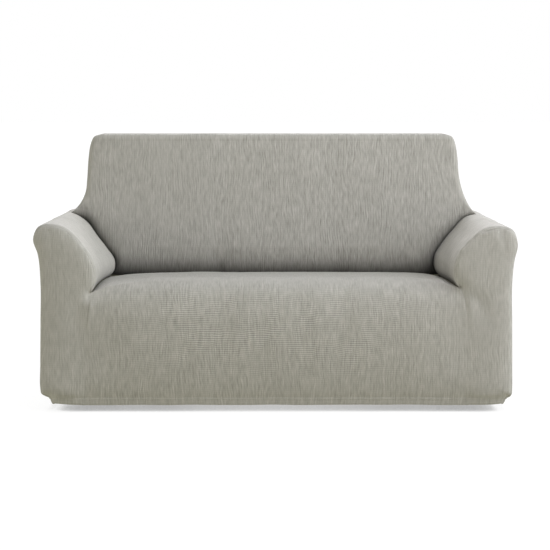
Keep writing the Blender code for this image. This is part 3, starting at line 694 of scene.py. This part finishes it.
def side_line(side):
    """The line below the arm's inner side, from the hem up to the corner of arm and seat."""
    corner = arm_line(side, "front")[-1]
    rows = [(getattr(row, "side_" + side), row.side_deep, row.side_up) for row in FRONT[:-1]]
    rows.append((corner[0], CORNER_DEEP, corner[1]))
    line = smooth(rows, [1] * (len(rows) - 1))
    line[:-1, 1] += crease_depth(SIDES[side] * line[:-1, 0], line[:-1, 2], FRONT_CREASES)
    return line


def middle_line():
    """The front's and the seat's middle line, from the hem to the fold under the inside back."""
    rows = [(row.deep, row.up) for row in FRONT + DECK]
    line = smooth(rows, [1] * (len(FRONT) - 1) + [DECK_DETAIL] * len(DECK))
    apron = line[: DETAIL * (len(FRONT) - 1) + 1]
    deck = line[len(apron) - 1 :]
    deep = deck[0, 0] + (deck[-1, 0] - deck[0, 0]) * ARM_SHARES[1:]
    top = np.column_stack([deep, np.interp(deep, deck[:, 0], deck[:, 1])])
    return np.vstack([apron, top]), len(apron)


def seat_grid(arm_edges):
    """The points between the two arms, from the hem to the fold under the inside back."""
    middle, on_apron = middle_line()
    sides = {side: np.vstack([side_line(side), arm_edges[side][1:]]) for side in SIDES}
    across = 2 * shares_across() - 1
    on_deck = soft_step(middle[:, 1], *DECK_FADE)
    on_deck[on_apron:] = 1
    grid = np.zeros((len(middle), len(across), 3))
    for j, place in enumerate(across):
        side = "left" if place < 0 else "right"
        late = sum(share * abs(place) ** power for share, power in SEAT_SIDE[side]) * on_deck
        late += soft_step(abs(place), APRON_SIDE, 1 - APRON_SIDE) * (1 - on_deck)
        grid[:, j, 1:] = middle + (sides[side][:, 1:] - middle) * late[:, None]
        left, right = sides["left"][:, 0], sides["right"][:, 0]
        grid[:, j, 0] = right * (1 + place) / 2 - left * (1 - place) / 2
    facing = 1 - soft_step(grid[..., 1], *CREASE_FADE)
    creases = crease_depth(grid[..., 0], grid[..., 2], FRONT_CREASES) * facing
    creases[:, [0, -1]] = 0
    grid[..., 1] += creases
    return grid


def arm_front_grid(side):
    """The points of an arm's front, made of rungs from its outer edge to its inner edge."""
    ring, inner_line = front_ring(side), side_line(side)
    edge = np.vstack([ring, inner_line[::-1][1:]])
    into = inward(edge[:, [0, 2]])
    into[:, 1] *= soft_step(edge[:, 2], BASE_UP, DOME_FOOT)
    insets = [edge[:, [0, 2]] + unit(into) * inset for inset in NEAR_SEAM]
    outer = [line[: CREST + 1] for line in insets]
    inner = [line[CREST:][::-1] for line in insets[::-1]]
    shares = np.linspace(0, 1, ARM_FRONT_FACES + 1)[1:-1]
    between = [outer[-1] * (1 - share) + inner[0] * share for share in shares]
    place = np.stack(outer + between + inner, axis=1)
    to_ring, at_ring = nearest(place, ring)
    to_line, at_line = nearest(place, inner_line)
    ring_deep = at_ring[..., 1] - CORNER_PULL * base_pull(at_ring[..., 2])
    on_dome = 1 - fading(to_ring, ARM_FRONT_EDGE[side])
    deep = ring_deep - (ring_deep + ARM_FRONT_DOME) * on_dome
    high = soft_step(place[..., 1], *LINE_FADE)
    near = bell(to_line, LINE_REACH_LOW + (LINE_REACH - LINE_REACH_LOW) * high)
    line_creases = crease_depth(SIDES[side] * at_line[..., 0], at_line[..., 2], FRONT_CREASES)
    line_deep = at_line[..., 1] - FRONT_PULL * base_pull(at_line[..., 2]) - line_creases
    deep = deep * (1 - near) + line_deep * near
    creases = crease_depth(SIDES[side] * place[..., 0], place[..., 1], FRONT_CREASES)
    deep += creases * on_dome
    across = to_line / (to_line + to_ring + 1e-9)
    deep += (FRONT_PULL + (CORNER_PULL - FRONT_PULL) * across**2) * base_pull(place[..., 1])
    grid = at_depth(place, deep)
    grid[:, 0], grid[:, -1] = edge[: CREST + 1], edge[CREST:][::-1]
    return grid


# ---- Each panel's grids, with coordinates on the cloth ----


def arm_cloth(side, points, first):
    """An arm's grid with rows that go up from the hem, and ribs along the section. first is the
    section's index of the first row."""
    points = points.swapaxes(0, 1) * (SIDES[side], 1, 1)
    along = distance_along(arm_line(side, "front"))[first : first + len(points), None]
    return Grid(points, points[..., 1], along + 0 * points[..., 1])


def front_cloth(points, arm_front_side=None):
    """A grid of the front, ribs up the front and back over the seat."""
    if arm_front_side is None:
        return Grid(points, points[..., 0], distance_along(points[..., 1:]))
    line = side_line(arm_front_side)
    along = np.interp(points[..., 2], line[:, 2], distance_along(line[:, 1:]))
    along += np.maximum(points[..., 2] - line[-1, 2], 0)
    points = points * (SIDES[arm_front_side], 1, 1)
    return Grid(points, points[..., 0], along)


def rim_cloth(rim, ways):
    """The strip over the back's edge, its cloth carried on outwards past the edge of the face."""
    over = distance_along(rim)
    across = rim[0, :, 0] + ways[:, 0] * over
    return Grid(rim, across, rim[0, :, 2] + ways[:, 1] * over)


def panels():
    """Every panel's grids, and the lines at the bottom of the tight folds."""
    folds = {side: back_crevice(side) * (sign, 1, 1) for side, sign in SIDES.items()}
    rim, ways = rim_rows(folds)
    foot_deeps = {"left": rim[1:, 0, 1], "right": rim[1:, -1, 1]}
    found, arms, arm_edges = {}, {}, {}
    arm_fronts = []
    for side, sign in SIDES.items():
        inner, outer = arm_grids(side, foot_deeps[side])
        found["arm_" + side] = [arm_cloth(side, inner, CREST), arm_cloth(side, outer, 0)]
        arms[side] = outer * (sign, 1, 1)
        arm_edges[side] = inner[:, -1]
        arm_fronts.append(front_cloth(arm_front_grid(side), side))
    seat = seat_grid(arm_edges)
    found["front"] = arm_fronts + [front_cloth(seat)]
    face = inside_back_face(rim, folds, seat[-1])
    found["inside_back"] = [Grid(face, face[..., 0], face[..., 2]), rim_cloth(rim, ways)]
    rear = outside_back(rim, arms)[::REAR_SKIP, ::REAR_SKIP]
    found["outside_back"] = [Grid(rear, rear[..., 0], rear[..., 2])]
    fold_lines = {"seat_rear": seat[-1]}
    for side in SIDES:
        fold_lines[side + "_arm"] = folds[side]
        fold_lines["seat_" + side] = arm_edges[side] * (SIDES[side], 1, 1)
    return found, fold_lines


# ---- One panel's mesh ----


def placed(name, data):
    """A new object in the scene."""
    made = bpy.data.objects.new(name, data)
    bpy.context.scene.collection.objects.link(made)
    return made


def welded(name, grids):
    """A panel's grids as one open mesh, with the cloth's coordinates in an attribute."""
    points = np.vstack([grid.points.reshape(-1, 3) for grid in grids]) - ORIGIN
    cloth = np.vstack(
        [np.stack([g.across, g.along, 0 * g.along], axis=-1).reshape(-1, 3) for g in grids]
    )
    faces, start = [], 0
    for grid in grids:
        rows, columns = grid.across.shape
        index = start + np.arange(rows * columns).reshape(rows, columns)
        corners = (index[:-1, :-1], index[:-1, 1:], index[1:, 1:], index[1:, :-1])
        faces.append(np.stack(corners, axis=-1).reshape(-1, 4))
        start += rows * columns
    mesh = bpy.data.meshes.new(name)
    mesh.from_pydata(points, [], np.vstack(faces).tolist())
    mesh.attributes.new("cloth", "FLOAT_VECTOR", "POINT")
    mesh.attributes["cloth"].data.foreach_set("vector", cloth.ravel())
    bm = bmesh.new()
    bm.from_mesh(mesh)
    bmesh.ops.remove_doubles(bm, verts=bm.verts, dist=SAME_SPOT)
    bmesh.ops.recalc_face_normals(bm, faces=bm.faces)
    highest = max(bm.faces, key=lambda face: face.calc_center_median().z)
    if highest.normal.z < 0:
        bmesh.ops.reverse_faces(bm, faces=bm.faces)
    bm.to_mesh(mesh)
    bm.free()
    return mesh


def values_of(items, name, width):
    """One number or vector of every item, as an array."""
    found = np.zeros(len(items) * width)
    items.foreach_get(name, found)
    return found.reshape(-1, width)


def seam_distance(mesh, along, has_hem):
    """Each vertex's distance from the panel's seams, which are its edges apart from the hem."""
    uses = Counter(loop.edge_index for loop in mesh.loops)
    border = [list(edge.vertices) for edge in mesh.edges if uses[edge.index] == 1]
    if has_hem:
        border = [ends for ends in border if min(along[ends]) > ON_HEM]
    tree = finder([mesh.vertices[i].co for i in {i for ends in border for i in ends}])
    return np.array([tree.find(vert.co)[2] for vert in mesh.vertices])


def row_strength(panel, across, along):
    """How strongly the rows show, and the knit gets painted light: most on the stretched front of
    the seat.
    """
    if panel != "front":
        return np.full_like(across, ROWS_ELSEWHERE)
    off_across = (across - ROWS_AT[0]) / ROWS_REACH[0]
    off_along = (along - ROWS_AT[1]) / ROWS_REACH[1]
    patches = ROWS_MOST + humps(ROW_PATCHES, across, along)
    return ROWS_LEAST + patches * np.exp(-(off_across**4) - off_along**4)


def rib_strength(panel, across, along):
    """How strongly the ribs show: less on the arm fronts, the seat and the left of the back."""
    less = 0 * across
    if panel.endswith("back"):
        less = BACK_LESS * soft_step(-across, *BACK_LEFT)
    if panel == "front":
        on_arm_front = soft_step(np.abs(across), *ARM_FRONTS)
        on_seat = soft_step(along, *SEAT) * (1 - on_arm_front)
        high = soft_step(along, *ARM_FRONTS_HIGH)
        at_side = ARM_FRONT_LESS_LOW + (ARM_FRONT_LESS - ARM_FRONT_LESS_LOW) * high
        less = at_side * on_arm_front + SEAT_LESS * on_seat
    return RIBS[panel] - less


def relief(panel, across, along, from_seam, has_hem):
    """How far the cloth stands out of its smooth form."""
    out = sum(humps(kind, across, along) for kind in (UNEVEN, *CRINKLE))
    out *= 1 - fading(from_seam, CALM)
    out -= crease_depth(across, along, FOLDS.get(panel, ()))
    out -= GROOVE * bell(from_seam, GROOVE_WIDTH)
    if has_hem:
        out += humps(GATHER, across, along) * bell(along, GATHER_REACH)
        out += CASING * bell(along - HEM_DEEP / 2, CASING_WIDTH)
        out += RIDGE * bell(along - HEM_DEEP, RIDGE_WIDTH)
    return out


def dress(panel, mesh, fold_lines):
    """Gives a welded panel its relief, its wavy hem, and what its material reads: the strength of
    ribs and rows, and the painted shade of the tight folds."""
    has_hem = panel != "inside_back"
    cloth = values_of(mesh.attributes["cloth"].data, "vector", 3)
    across, along = cloth[:, 0], cloth[:, 1]
    if has_hem:
        along = along - along.min()
    points = values_of(mesh.vertices, "co", 3)
    normals = values_of(mesh.vertex_normals, "vector", 3)
    from_seam = seam_distance(mesh, along, has_hem)
    points += normals * relief(panel, across, along, from_seam, has_hem)[:, None]
    if has_hem:
        points[:, 2] += humps(HEM_WAVE, across, 0 * along) * bell(along, GATHER_REACH)
    cloth[:, 1] = along
    cloth[:, 2] = row_strength(panel, across, along)
    # Painted shade of the tight folds: the share of the colour that is kept, stored in the "open"
    # attribute.
    painted_shade = np.ones(len(points))
    for tight in (row for row in PAINTED_FOLD_SHADE if row.panel == panel):
        gap, share = gap_to(points + ORIGIN, fold_lines[tight.fold])
        depth = tight.start + (tight.end - tight.start) * soft_step(share, 0, tight.by)
        painted_shade *= 1 - depth * np.exp(-((gap / tight.reach) ** tight.power))
    mesh.attributes.new("open", "FLOAT", "POINT").data.foreach_set("value", painted_shade)
    show = rib_strength(panel, across, along)
    mesh.attributes.new("show", "FLOAT", "POINT").data.foreach_set("value", show)
    mesh.vertices.foreach_set("co", points.ravel())
    mesh.attributes["cloth"].data.foreach_set("vector", cloth.ravel())
    mesh.update()


def open_seams(bm):
    """Draws the panel's edges back by half the gap at a seam."""
    moves = {}
    for vert in bm.verts:
        if vert.is_boundary:
            centre = sum((face.calc_center_median() for face in vert.link_faces), Vector())
            into = centre / len(vert.link_faces) - vert.co
            moves[vert] = into.normalized() * SEAM_GAP / 2
    for vert, move in moves.items():
        vert.co += move


def turn_hem(bm):
    """Turns the cloth's lower edge in and up behind the hem's casing."""
    cloth = bm.verts.layers.float_vector["cloth"]
    bm.normal_update()
    border = [edge for edge in bm.edges if edge.is_boundary]
    edges = [edge for edge in border if all(vert[cloth].y < ON_HEM for vert in edge.verts)]
    start = {vert: (vert.co.copy(), vert.normal.copy()) for edge in edges for vert in edge.verts}
    for step_in, step_up in TURN_STEPS:
        made = bmesh.ops.extrude_edge_only(bm, edges=edges)["geom"]
        fresh = {}
        for item in made:
            if isinstance(item, bmesh.types.BMVert):
                beside = [edge.other_vert(item) for edge in item.link_edges]
                fresh[item] = next(start[vert] for vert in beside if vert in start)
        for vert, (place, normal) in fresh.items():
            level = Vector((normal.x, normal.y, 0)).normalized()
            vert.co = place - level * step_in + Vector((0, 0, step_up))
        edges = [item for item in made if isinstance(item, bmesh.types.BMEdge)]
        start = fresh


def panel_piece(name, mesh, material):
    """One dressed panel of cloth as a thin closed sheet that stands for its solid."""
    bm = bmesh.new()
    bm.from_mesh(mesh)
    open_seams(bm)
    if name != "inside_back":
        turn_hem(bm)
    bm.to_mesh(mesh)
    bm.free()
    mesh.shade_smooth()
    mesh.materials.append(material)
    piece = placed("cloth_" + name, mesh)
    thick = piece.modifiers.new("thickness", "SOLIDIFY")
    thick.thickness = CLOTH
    thick.offset = -1
    return piece


def hem_line(grid):
    """The line in which the hem is stitched, a point for each column of a grid of a panel."""
    columns = zip((grid.along - grid.along[0]).T, grid.points.swapaxes(0, 1))
    return np.array([points_at(HEM_DEEP, rise, points) for rise, points in columns])


def stitch_rings(start, middle, end, normals):
    """The three rings of points of one stitch, which comes up out of the cloth and goes back in."""
    way = (end - start).normalized()
    rings = []
    for place, normal, lift in zip((start, middle, end), normals, STITCH_LIFTS):
        side = way.cross(normal).normalized() * THREAD
        rise = normal * THREAD
        for k in range(THREAD_SIDES):
            turn = k * 2 * math.pi / THREAD_SIDES
            rings.append(place + normal * lift + side * math.cos(turn) + rise * math.sin(turn))
    return rings


def hem_stitches(name, grids, mesh, material):
    """The row of stitches that closes a panel's hem, lying on the dressed mesh."""
    corners = [poly.vertices for poly in mesh.polygons]
    surface = BVHTree.FromPolygons([vert.co for vert in mesh.vertices], corners)
    chance = np.random.default_rng(STITCH_SEED)
    sides = range(THREAD_SIDES)
    verts, faces = [], []
    for grid in grids:
        line = hem_line(grid) - ORIGIN
        far = distance_along(line)
        for first in np.arange(STITCH_PITCH / 2, far[-1] - STITCH_PITCH, STITCH_PITCH):
            spots = []
            for off in (0, STITCH / 2, STITCH):
                at = points_at(first + off, far, line)
                at[2] += chance.normal(0, STITCH_SLIP)
                spots.append(surface.find_nearest(Vector(at)))
            start = len(verts)
            verts += stitch_rings(*(spot[0] for spot in spots), [spot[1] for spot in spots])
            rings = [[start + ring * THREAD_SIDES + k for k in sides] for ring in range(3)]
            for low, high in zip(rings, rings[1:]):
                faces += [(low[k - 1], low[k], high[k], high[k - 1]) for k in sides]
            faces += [rings[0], rings[2]]
    made = bpy.data.meshes.new("hem_stitches_" + name)
    made.from_pydata(verts, [], faces)
    made.shade_smooth()
    made.materials.append(material)
    return placed(made.name, made)


# ---- Materials ----


class Graph:
    """A material's nodes, added and linked in short calls."""

    def __init__(self, name):
        self.material = bpy.data.materials.new(name)
        self.material.use_nodes = True
        self.tree = self.material.node_tree
        self.shader = self.tree.nodes["Principled BSDF"]

    def add(self, kind, inputs=(), **settings):
        """A node with these settings and these values or sockets on its inputs."""
        node = self.tree.nodes.new("ShaderNode" + kind)
        for key, value in settings.items():
            setattr(node, key, value)
        for key, value in dict(inputs).items():
            self.put(node.inputs[key], value)
        return node

    def put(self, socket, value):
        """Links a socket to the input, or sets the input's own value."""
        if isinstance(value, bpy.types.NodeSocket):
            self.tree.links.new(value, socket)
        else:
            socket.default_value = value

    def finish(self, inputs):
        """The material, with these sockets and values on its shader."""
        for key, value in inputs.items():
            self.put(self.shader.inputs[key], value)
        return self.material

    def mix(self, share, low, high):
        """A colour between two, by the share of the second."""
        inputs = {"Factor": share, "A": low, "B": high}
        return self.add("Mix", inputs, data_type="RGBA").outputs[2]

    def math(self, operation, *values):
        """The result of a Math node."""
        return self.add("Math", enumerate(values), operation=operation).outputs[0]

    def spot(self, across, along, across_times, along_times):
        """The cloth's coordinates, each drawn out by its own factor."""
        u = self.math("MULTIPLY", across, across_times)
        v = self.math("MULTIPLY", along, along_times)
        return self.add("CombineXYZ", {"X": u, "Y": v}).outputs[0]

    def noise(self, vector, detail=2.0):
        """Noise from about -0.5 to 0.5."""
        node = self.add("TexNoise", {"Vector": vector, "Scale": 1.0, "Detail": detail})
        return self.math("SUBTRACT", node.outputs[0], 0.5)

    def wave(self, value, pitch):
        """A wave from -1 to 1 with this pitch."""
        return self.math("SINE", self.math("MULTIPLY", value, 2 * math.pi / pitch))

    def total(self, *pairs):
        """The sum of each value times its weight."""
        found = 0.0
        for value, weight in pairs:
            found = self.math("MULTIPLY_ADD", value, weight, found)
        return found


KNIT_DARK = (0.249, 0.241, 0.215, 1)
KNIT_LIGHT = (0.611, 0.596, 0.560, 1)
KNIT_MIDDLE = 0.49  # the knit's usual place between the two
ROWS_PAINTED_LIGHT = 0.06  # painted light: how much lighter the knit is where the rows show, most on the seat's front
THREAD_DARK = (0.40, 0.39, 0.34, 1)
THREAD_LIGHT = (0.60, 0.59, 0.53, 1)
TWIST = 1800.0  # turns and fibres of the thread in a metre
RIB = 0.0088  # pitch of the ribs
CROSS_RIB = 0.0070  # and of the rows across them


def knit_material():
    """Crinkled rib knit in a warm light grey: fine wavy ribs, slubs, and faint rows across. Its
    colour also carries painted shade in the tight folds and painted light where the rows show.

    Each spot's last two numbers say how many humps its noise has in a metre across and along."""
    g = Graph("knit")
    cloth = g.add("Attribute", attribute_name="cloth").outputs["Vector"]
    painted_shade = g.add("Attribute", attribute_name="open").outputs["Fac"]
    show = g.add("Attribute", attribute_name="show").outputs["Fac"]
    split = g.add("SeparateXYZ", {"Vector": cloth}).outputs
    across, along, rows = split[0], split[1], split[2]
    sway = g.noise(g.spot(across, along, 6, 4))
    shake = g.noise(g.spot(across, along, 45, 18))
    ribs_at = g.math("ADD", across, g.total((sway, 0.050), (shake, 0.009)))
    rows_at = g.math("ADD", along, g.total((sway, 0.030), (shake, 0.004)))
    patch = g.noise(g.spot(across, along, 14, 9), 1.0)
    strong = g.math("MAXIMUM", g.math("MULTIPLY_ADD", patch, 4.0, 0.6), 0.0)
    ribs = g.math("MULTIPLY", g.wave(ribs_at, RIB), strong)
    cross = g.math("MULTIPLY", g.wave(rows_at, CROSS_RIB), rows)
    crepe = g.noise(g.spot(ribs_at, along, 100, 20), 4.0)
    slub = g.noise(g.spot(across, along, 300, 40), 2.0)
    mottle = g.noise(g.spot(across, along, 11, 4), 3.0)
    yarn = g.noise(g.spot(across, along, 1100, 700), 1.0)
    tone = g.total(
        (ribs, 0.065), (cross, 0.230), (crepe, 0.85), (slub, 0.65), (mottle, 0.22), (yarn, 0.30)
    )
    # Painted light: the knit is made lighter where the rows show, most on the front of the seat.
    tone = g.math("ADD", g.total((tone, show), (rows, ROWS_PAINTED_LIGHT)), KNIT_MIDDLE)
    colour = g.mix(tone, KNIT_DARK, KNIT_LIGHT)
    # Painted shade: the colour is darkened near the tight folds by the "open" attribute.
    shaded = g.add("VectorMath", {0: colour, 3: painted_shade}, operation="SCALE").outputs[0]
    height = g.total(
        (ribs, 0.00016), (cross, 0.00040), (crepe, 0.0018), (slub, 0.0006), (yarn, 0.0001)
    )
    height = g.math("MULTIPLY", height, show)
    bump = g.add("Bump", {"Height": height, "Strength": 1.0, "Distance": 1.0}).outputs[0]
    rough = g.math("ADD", g.total((crepe, -0.12), (yarn, 0.10), (ribs, -0.03)), 0.88)
    fuzz = {"Specular IOR Level": 0.25, "Sheen Weight": 0.15, "Sheen Roughness": 0.5}
    return g.finish({"Base Color": shaded, "Roughness": rough, "Normal": bump, **fuzz})


def thread_material():
    """Twisted sewing thread, a little lighter than the knit."""
    g = Graph("thread")
    place = g.add("TexCoord").outputs["Object"]
    twist = g.add("TexNoise", {"Vector": place, "Scale": TWIST, "Detail": 1.0}).outputs[0]
    return g.finish({"Base Color": g.mix(twist, THREAD_DARK, THREAD_LIGHT), "Roughness": 0.7})


def floor_material():
    """White studio floor that glows: plain white where the camera sees it, with painted shadow close
    under the cover taken from ambient occlusion, and a dimmer warm glow that lights the cover.
    """
    g = Graph("floor")
    seen = g.add("LightPath").outputs["Is Camera Ray"]
    # Painted shadow: the glow that the camera sees is darkened where the cover hides the sky.
    near = g.add("AmbientOcclusion", {"Distance": SHADE_REACH}).outputs["AO"]
    shade = g.math("MINIMUM", g.math("MULTIPLY_ADD", near, SHADE_GAIN, SHADE_OFFSET), 1.0)
    shade = g.math("MAXIMUM", shade, SHADE_LEAST)
    shade = g.math("MULTIPLY_ADD", shade, FLOOR_SEEN, -FLOOR_GLOW)
    glow = g.math("MULTIPLY_ADD", seen, shade, FLOOR_GLOW)
    tint = g.mix(seen, FLOOR_TINT, (1, 1, 1, 1))
    matte = {"Base Color": FLOOR_COLOUR, "Roughness": 1.0, "Specular IOR Level": 0.0}
    return g.finish({"Emission Color": tint, "Emission Strength": glow, **matte})


# ---- Stage ----

CAMERA_AHEAD = 6.0  # in front of the arm fronts
CAMERA_UP = 1.05
CAMERA_PITCH = math.radians(5.63)
IMAGE_SIDE = 550
FOCAL_PIXELS = 1840
SENSOR = 36.0


def add_camera():
    data = bpy.data.cameras.new("camera")
    data.sensor_width = SENSOR
    data.lens = SENSOR * FOCAL_PIXELS / IMAGE_SIDE
    camera = placed("camera", data)
    camera.location = Vector((0, -CAMERA_AHEAD, CAMERA_UP)) - Vector(ORIGIN)
    camera.rotation_euler = (math.pi / 2 - CAMERA_PITCH, 0, 0)
    bpy.context.scene.camera = camera


# The way each lamp shines from, in degrees, its strength and colour, and how far away it stands.
# None is at infinity.
LAMPS = table(
    "name turn height strength colour away",
    ("key", 85, 5, 1.08, (0.95, 0.95, 1.0), None),
    ("right", 85, 35, 1.17, (0.95, 1.0, 1.0), None),
    ("high_right", 45, 50, 0.60, (1.0, 1.0, 0.93), None),
    ("near_right", 45, 50, 0.92, (0.93, 0.94, 1.0), 2.5),
    ("near_low_right", 45, 10, 0.31, (0.90, 0.88, 1.0), 2.5),
    ("low_right", 45, 12, 0.30, (1.0, 0.99, 0.96), None),
    ("far_left", -85, 5, 1.40, (1.0, 0.99, 0.93), None),
    ("left", -45, 12, 0.46, (1.0, 0.97, 0.91), None),
    ("overhead", 0, 85, 0.17, (1.0, 1.0, 0.98), None),
    ("behind", 180, 30, 2.94, (1.0, 0.98, 1.0), None),
)
LAMP_SIZE = math.radians(35)  # how large every lamp looks from the object
MIDDLE = Vector((0.0, -0.35, -0.45))  # near the middle of the object, where near lamps aim
SKY = (0.0, 0.0, 0.0, 1)  # it gives no light, the lamps and the floor do
FLOOR_SIDE = 120
FLOOR_COLOUR = (0.12, 0.12, 0.12, 1)
FLOOR_GLOW = 0.426  # the light that it throws up at the cover
FLOOR_TINT = (1.0, 0.98, 0.72, 1)
FLOOR_SEEN = 0.93  # how bright it shows
SHADE_REACH = 0.6  # over which distance the cover shades it
SHADE_GAIN = 2.95  # the shade on the floor from the share of the sky that it sees
SHADE_OFFSET = -0.33
SHADE_LEAST = 0.3


def add_lamps():
    """Suns, and square lamps this far away from the middle of the object."""
    for lamp in LAMPS:
        turn, height = math.radians(lamp.turn), math.radians(lamp.height)
        level = math.cos(height)
        way = Vector((math.sin(turn) * level, -math.cos(turn) * level, math.sin(height)))
        data = bpy.data.lights.new(lamp.name, "AREA" if lamp.away else "SUN")
        data.energy, data.color = lamp.strength, lamp.colour
        light = placed(lamp.name, data)
        if lamp.away:
            data.energy *= math.pi * lamp.away**2  # as bright at the middle as a sun
            data.size = 2 * lamp.away * math.tan(LAMP_SIZE / 2)
            light.location = MIDDLE + way * lamp.away
        else:
            data.angle = LAMP_SIZE
        light.rotation_euler = way.to_track_quat("Z", "Y").to_euler()


def add_world():
    """The sky, which shows as plain white behind the object."""
    world = bpy.data.worlds.new("studio")
    world.use_nodes = True
    bpy.context.scene.world = world
    tree = world.node_tree
    glow = tree.nodes["Background"]
    glow.inputs["Color"].default_value = SKY
    white = tree.nodes.new("ShaderNodeBackground")
    white.inputs["Color"].default_value = (1, 1, 1, 1)
    seen = tree.nodes.new("ShaderNodeLightPath")
    mix = tree.nodes.new("ShaderNodeMixShader")
    tree.links.new(seen.outputs["Is Camera Ray"], mix.inputs[0])
    tree.links.new(glow.outputs[0], mix.inputs[1])
    tree.links.new(white.outputs[0], mix.inputs[2])
    tree.links.new(mix.outputs[0], tree.nodes["World Output"].inputs["Surface"])


def add_floor():
    mesh = bpy.data.meshes.new("floor")
    half = FLOOR_SIDE / 2
    corners = [(x * half, y * half, FLOOR) for x, y in ((-1, -1), (1, -1), (1, 1), (-1, 1))]
    mesh.from_pydata(corners, [], [(0, 1, 2, 3)])
    mesh.materials.append(floor_material())
    placed("floor", mesh)


# ---- Everything ----


def main():
    add_camera()
    knit = knit_material()
    thread = thread_material()
    grids_of, fold_lines = panels()
    for name, grids in grids_of.items():
        mesh = welded("cloth_" + name, grids)
        dress(name, mesh, fold_lines)
        sewn = []
        if name != "inside_back":
            with_hem = grids[1:] if name.startswith("arm") else grids
            sewn.append(hem_stitches(name, with_hem, mesh, thread))
            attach(sewn[0], "root")
        piece = panel_piece(name, mesh, knit)
        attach(piece, "root")
        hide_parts(name)
    add_floor()
    add_lamps()
    add_world()
    bpy.context.scene.view_settings.view_transform = "Standard"


main()
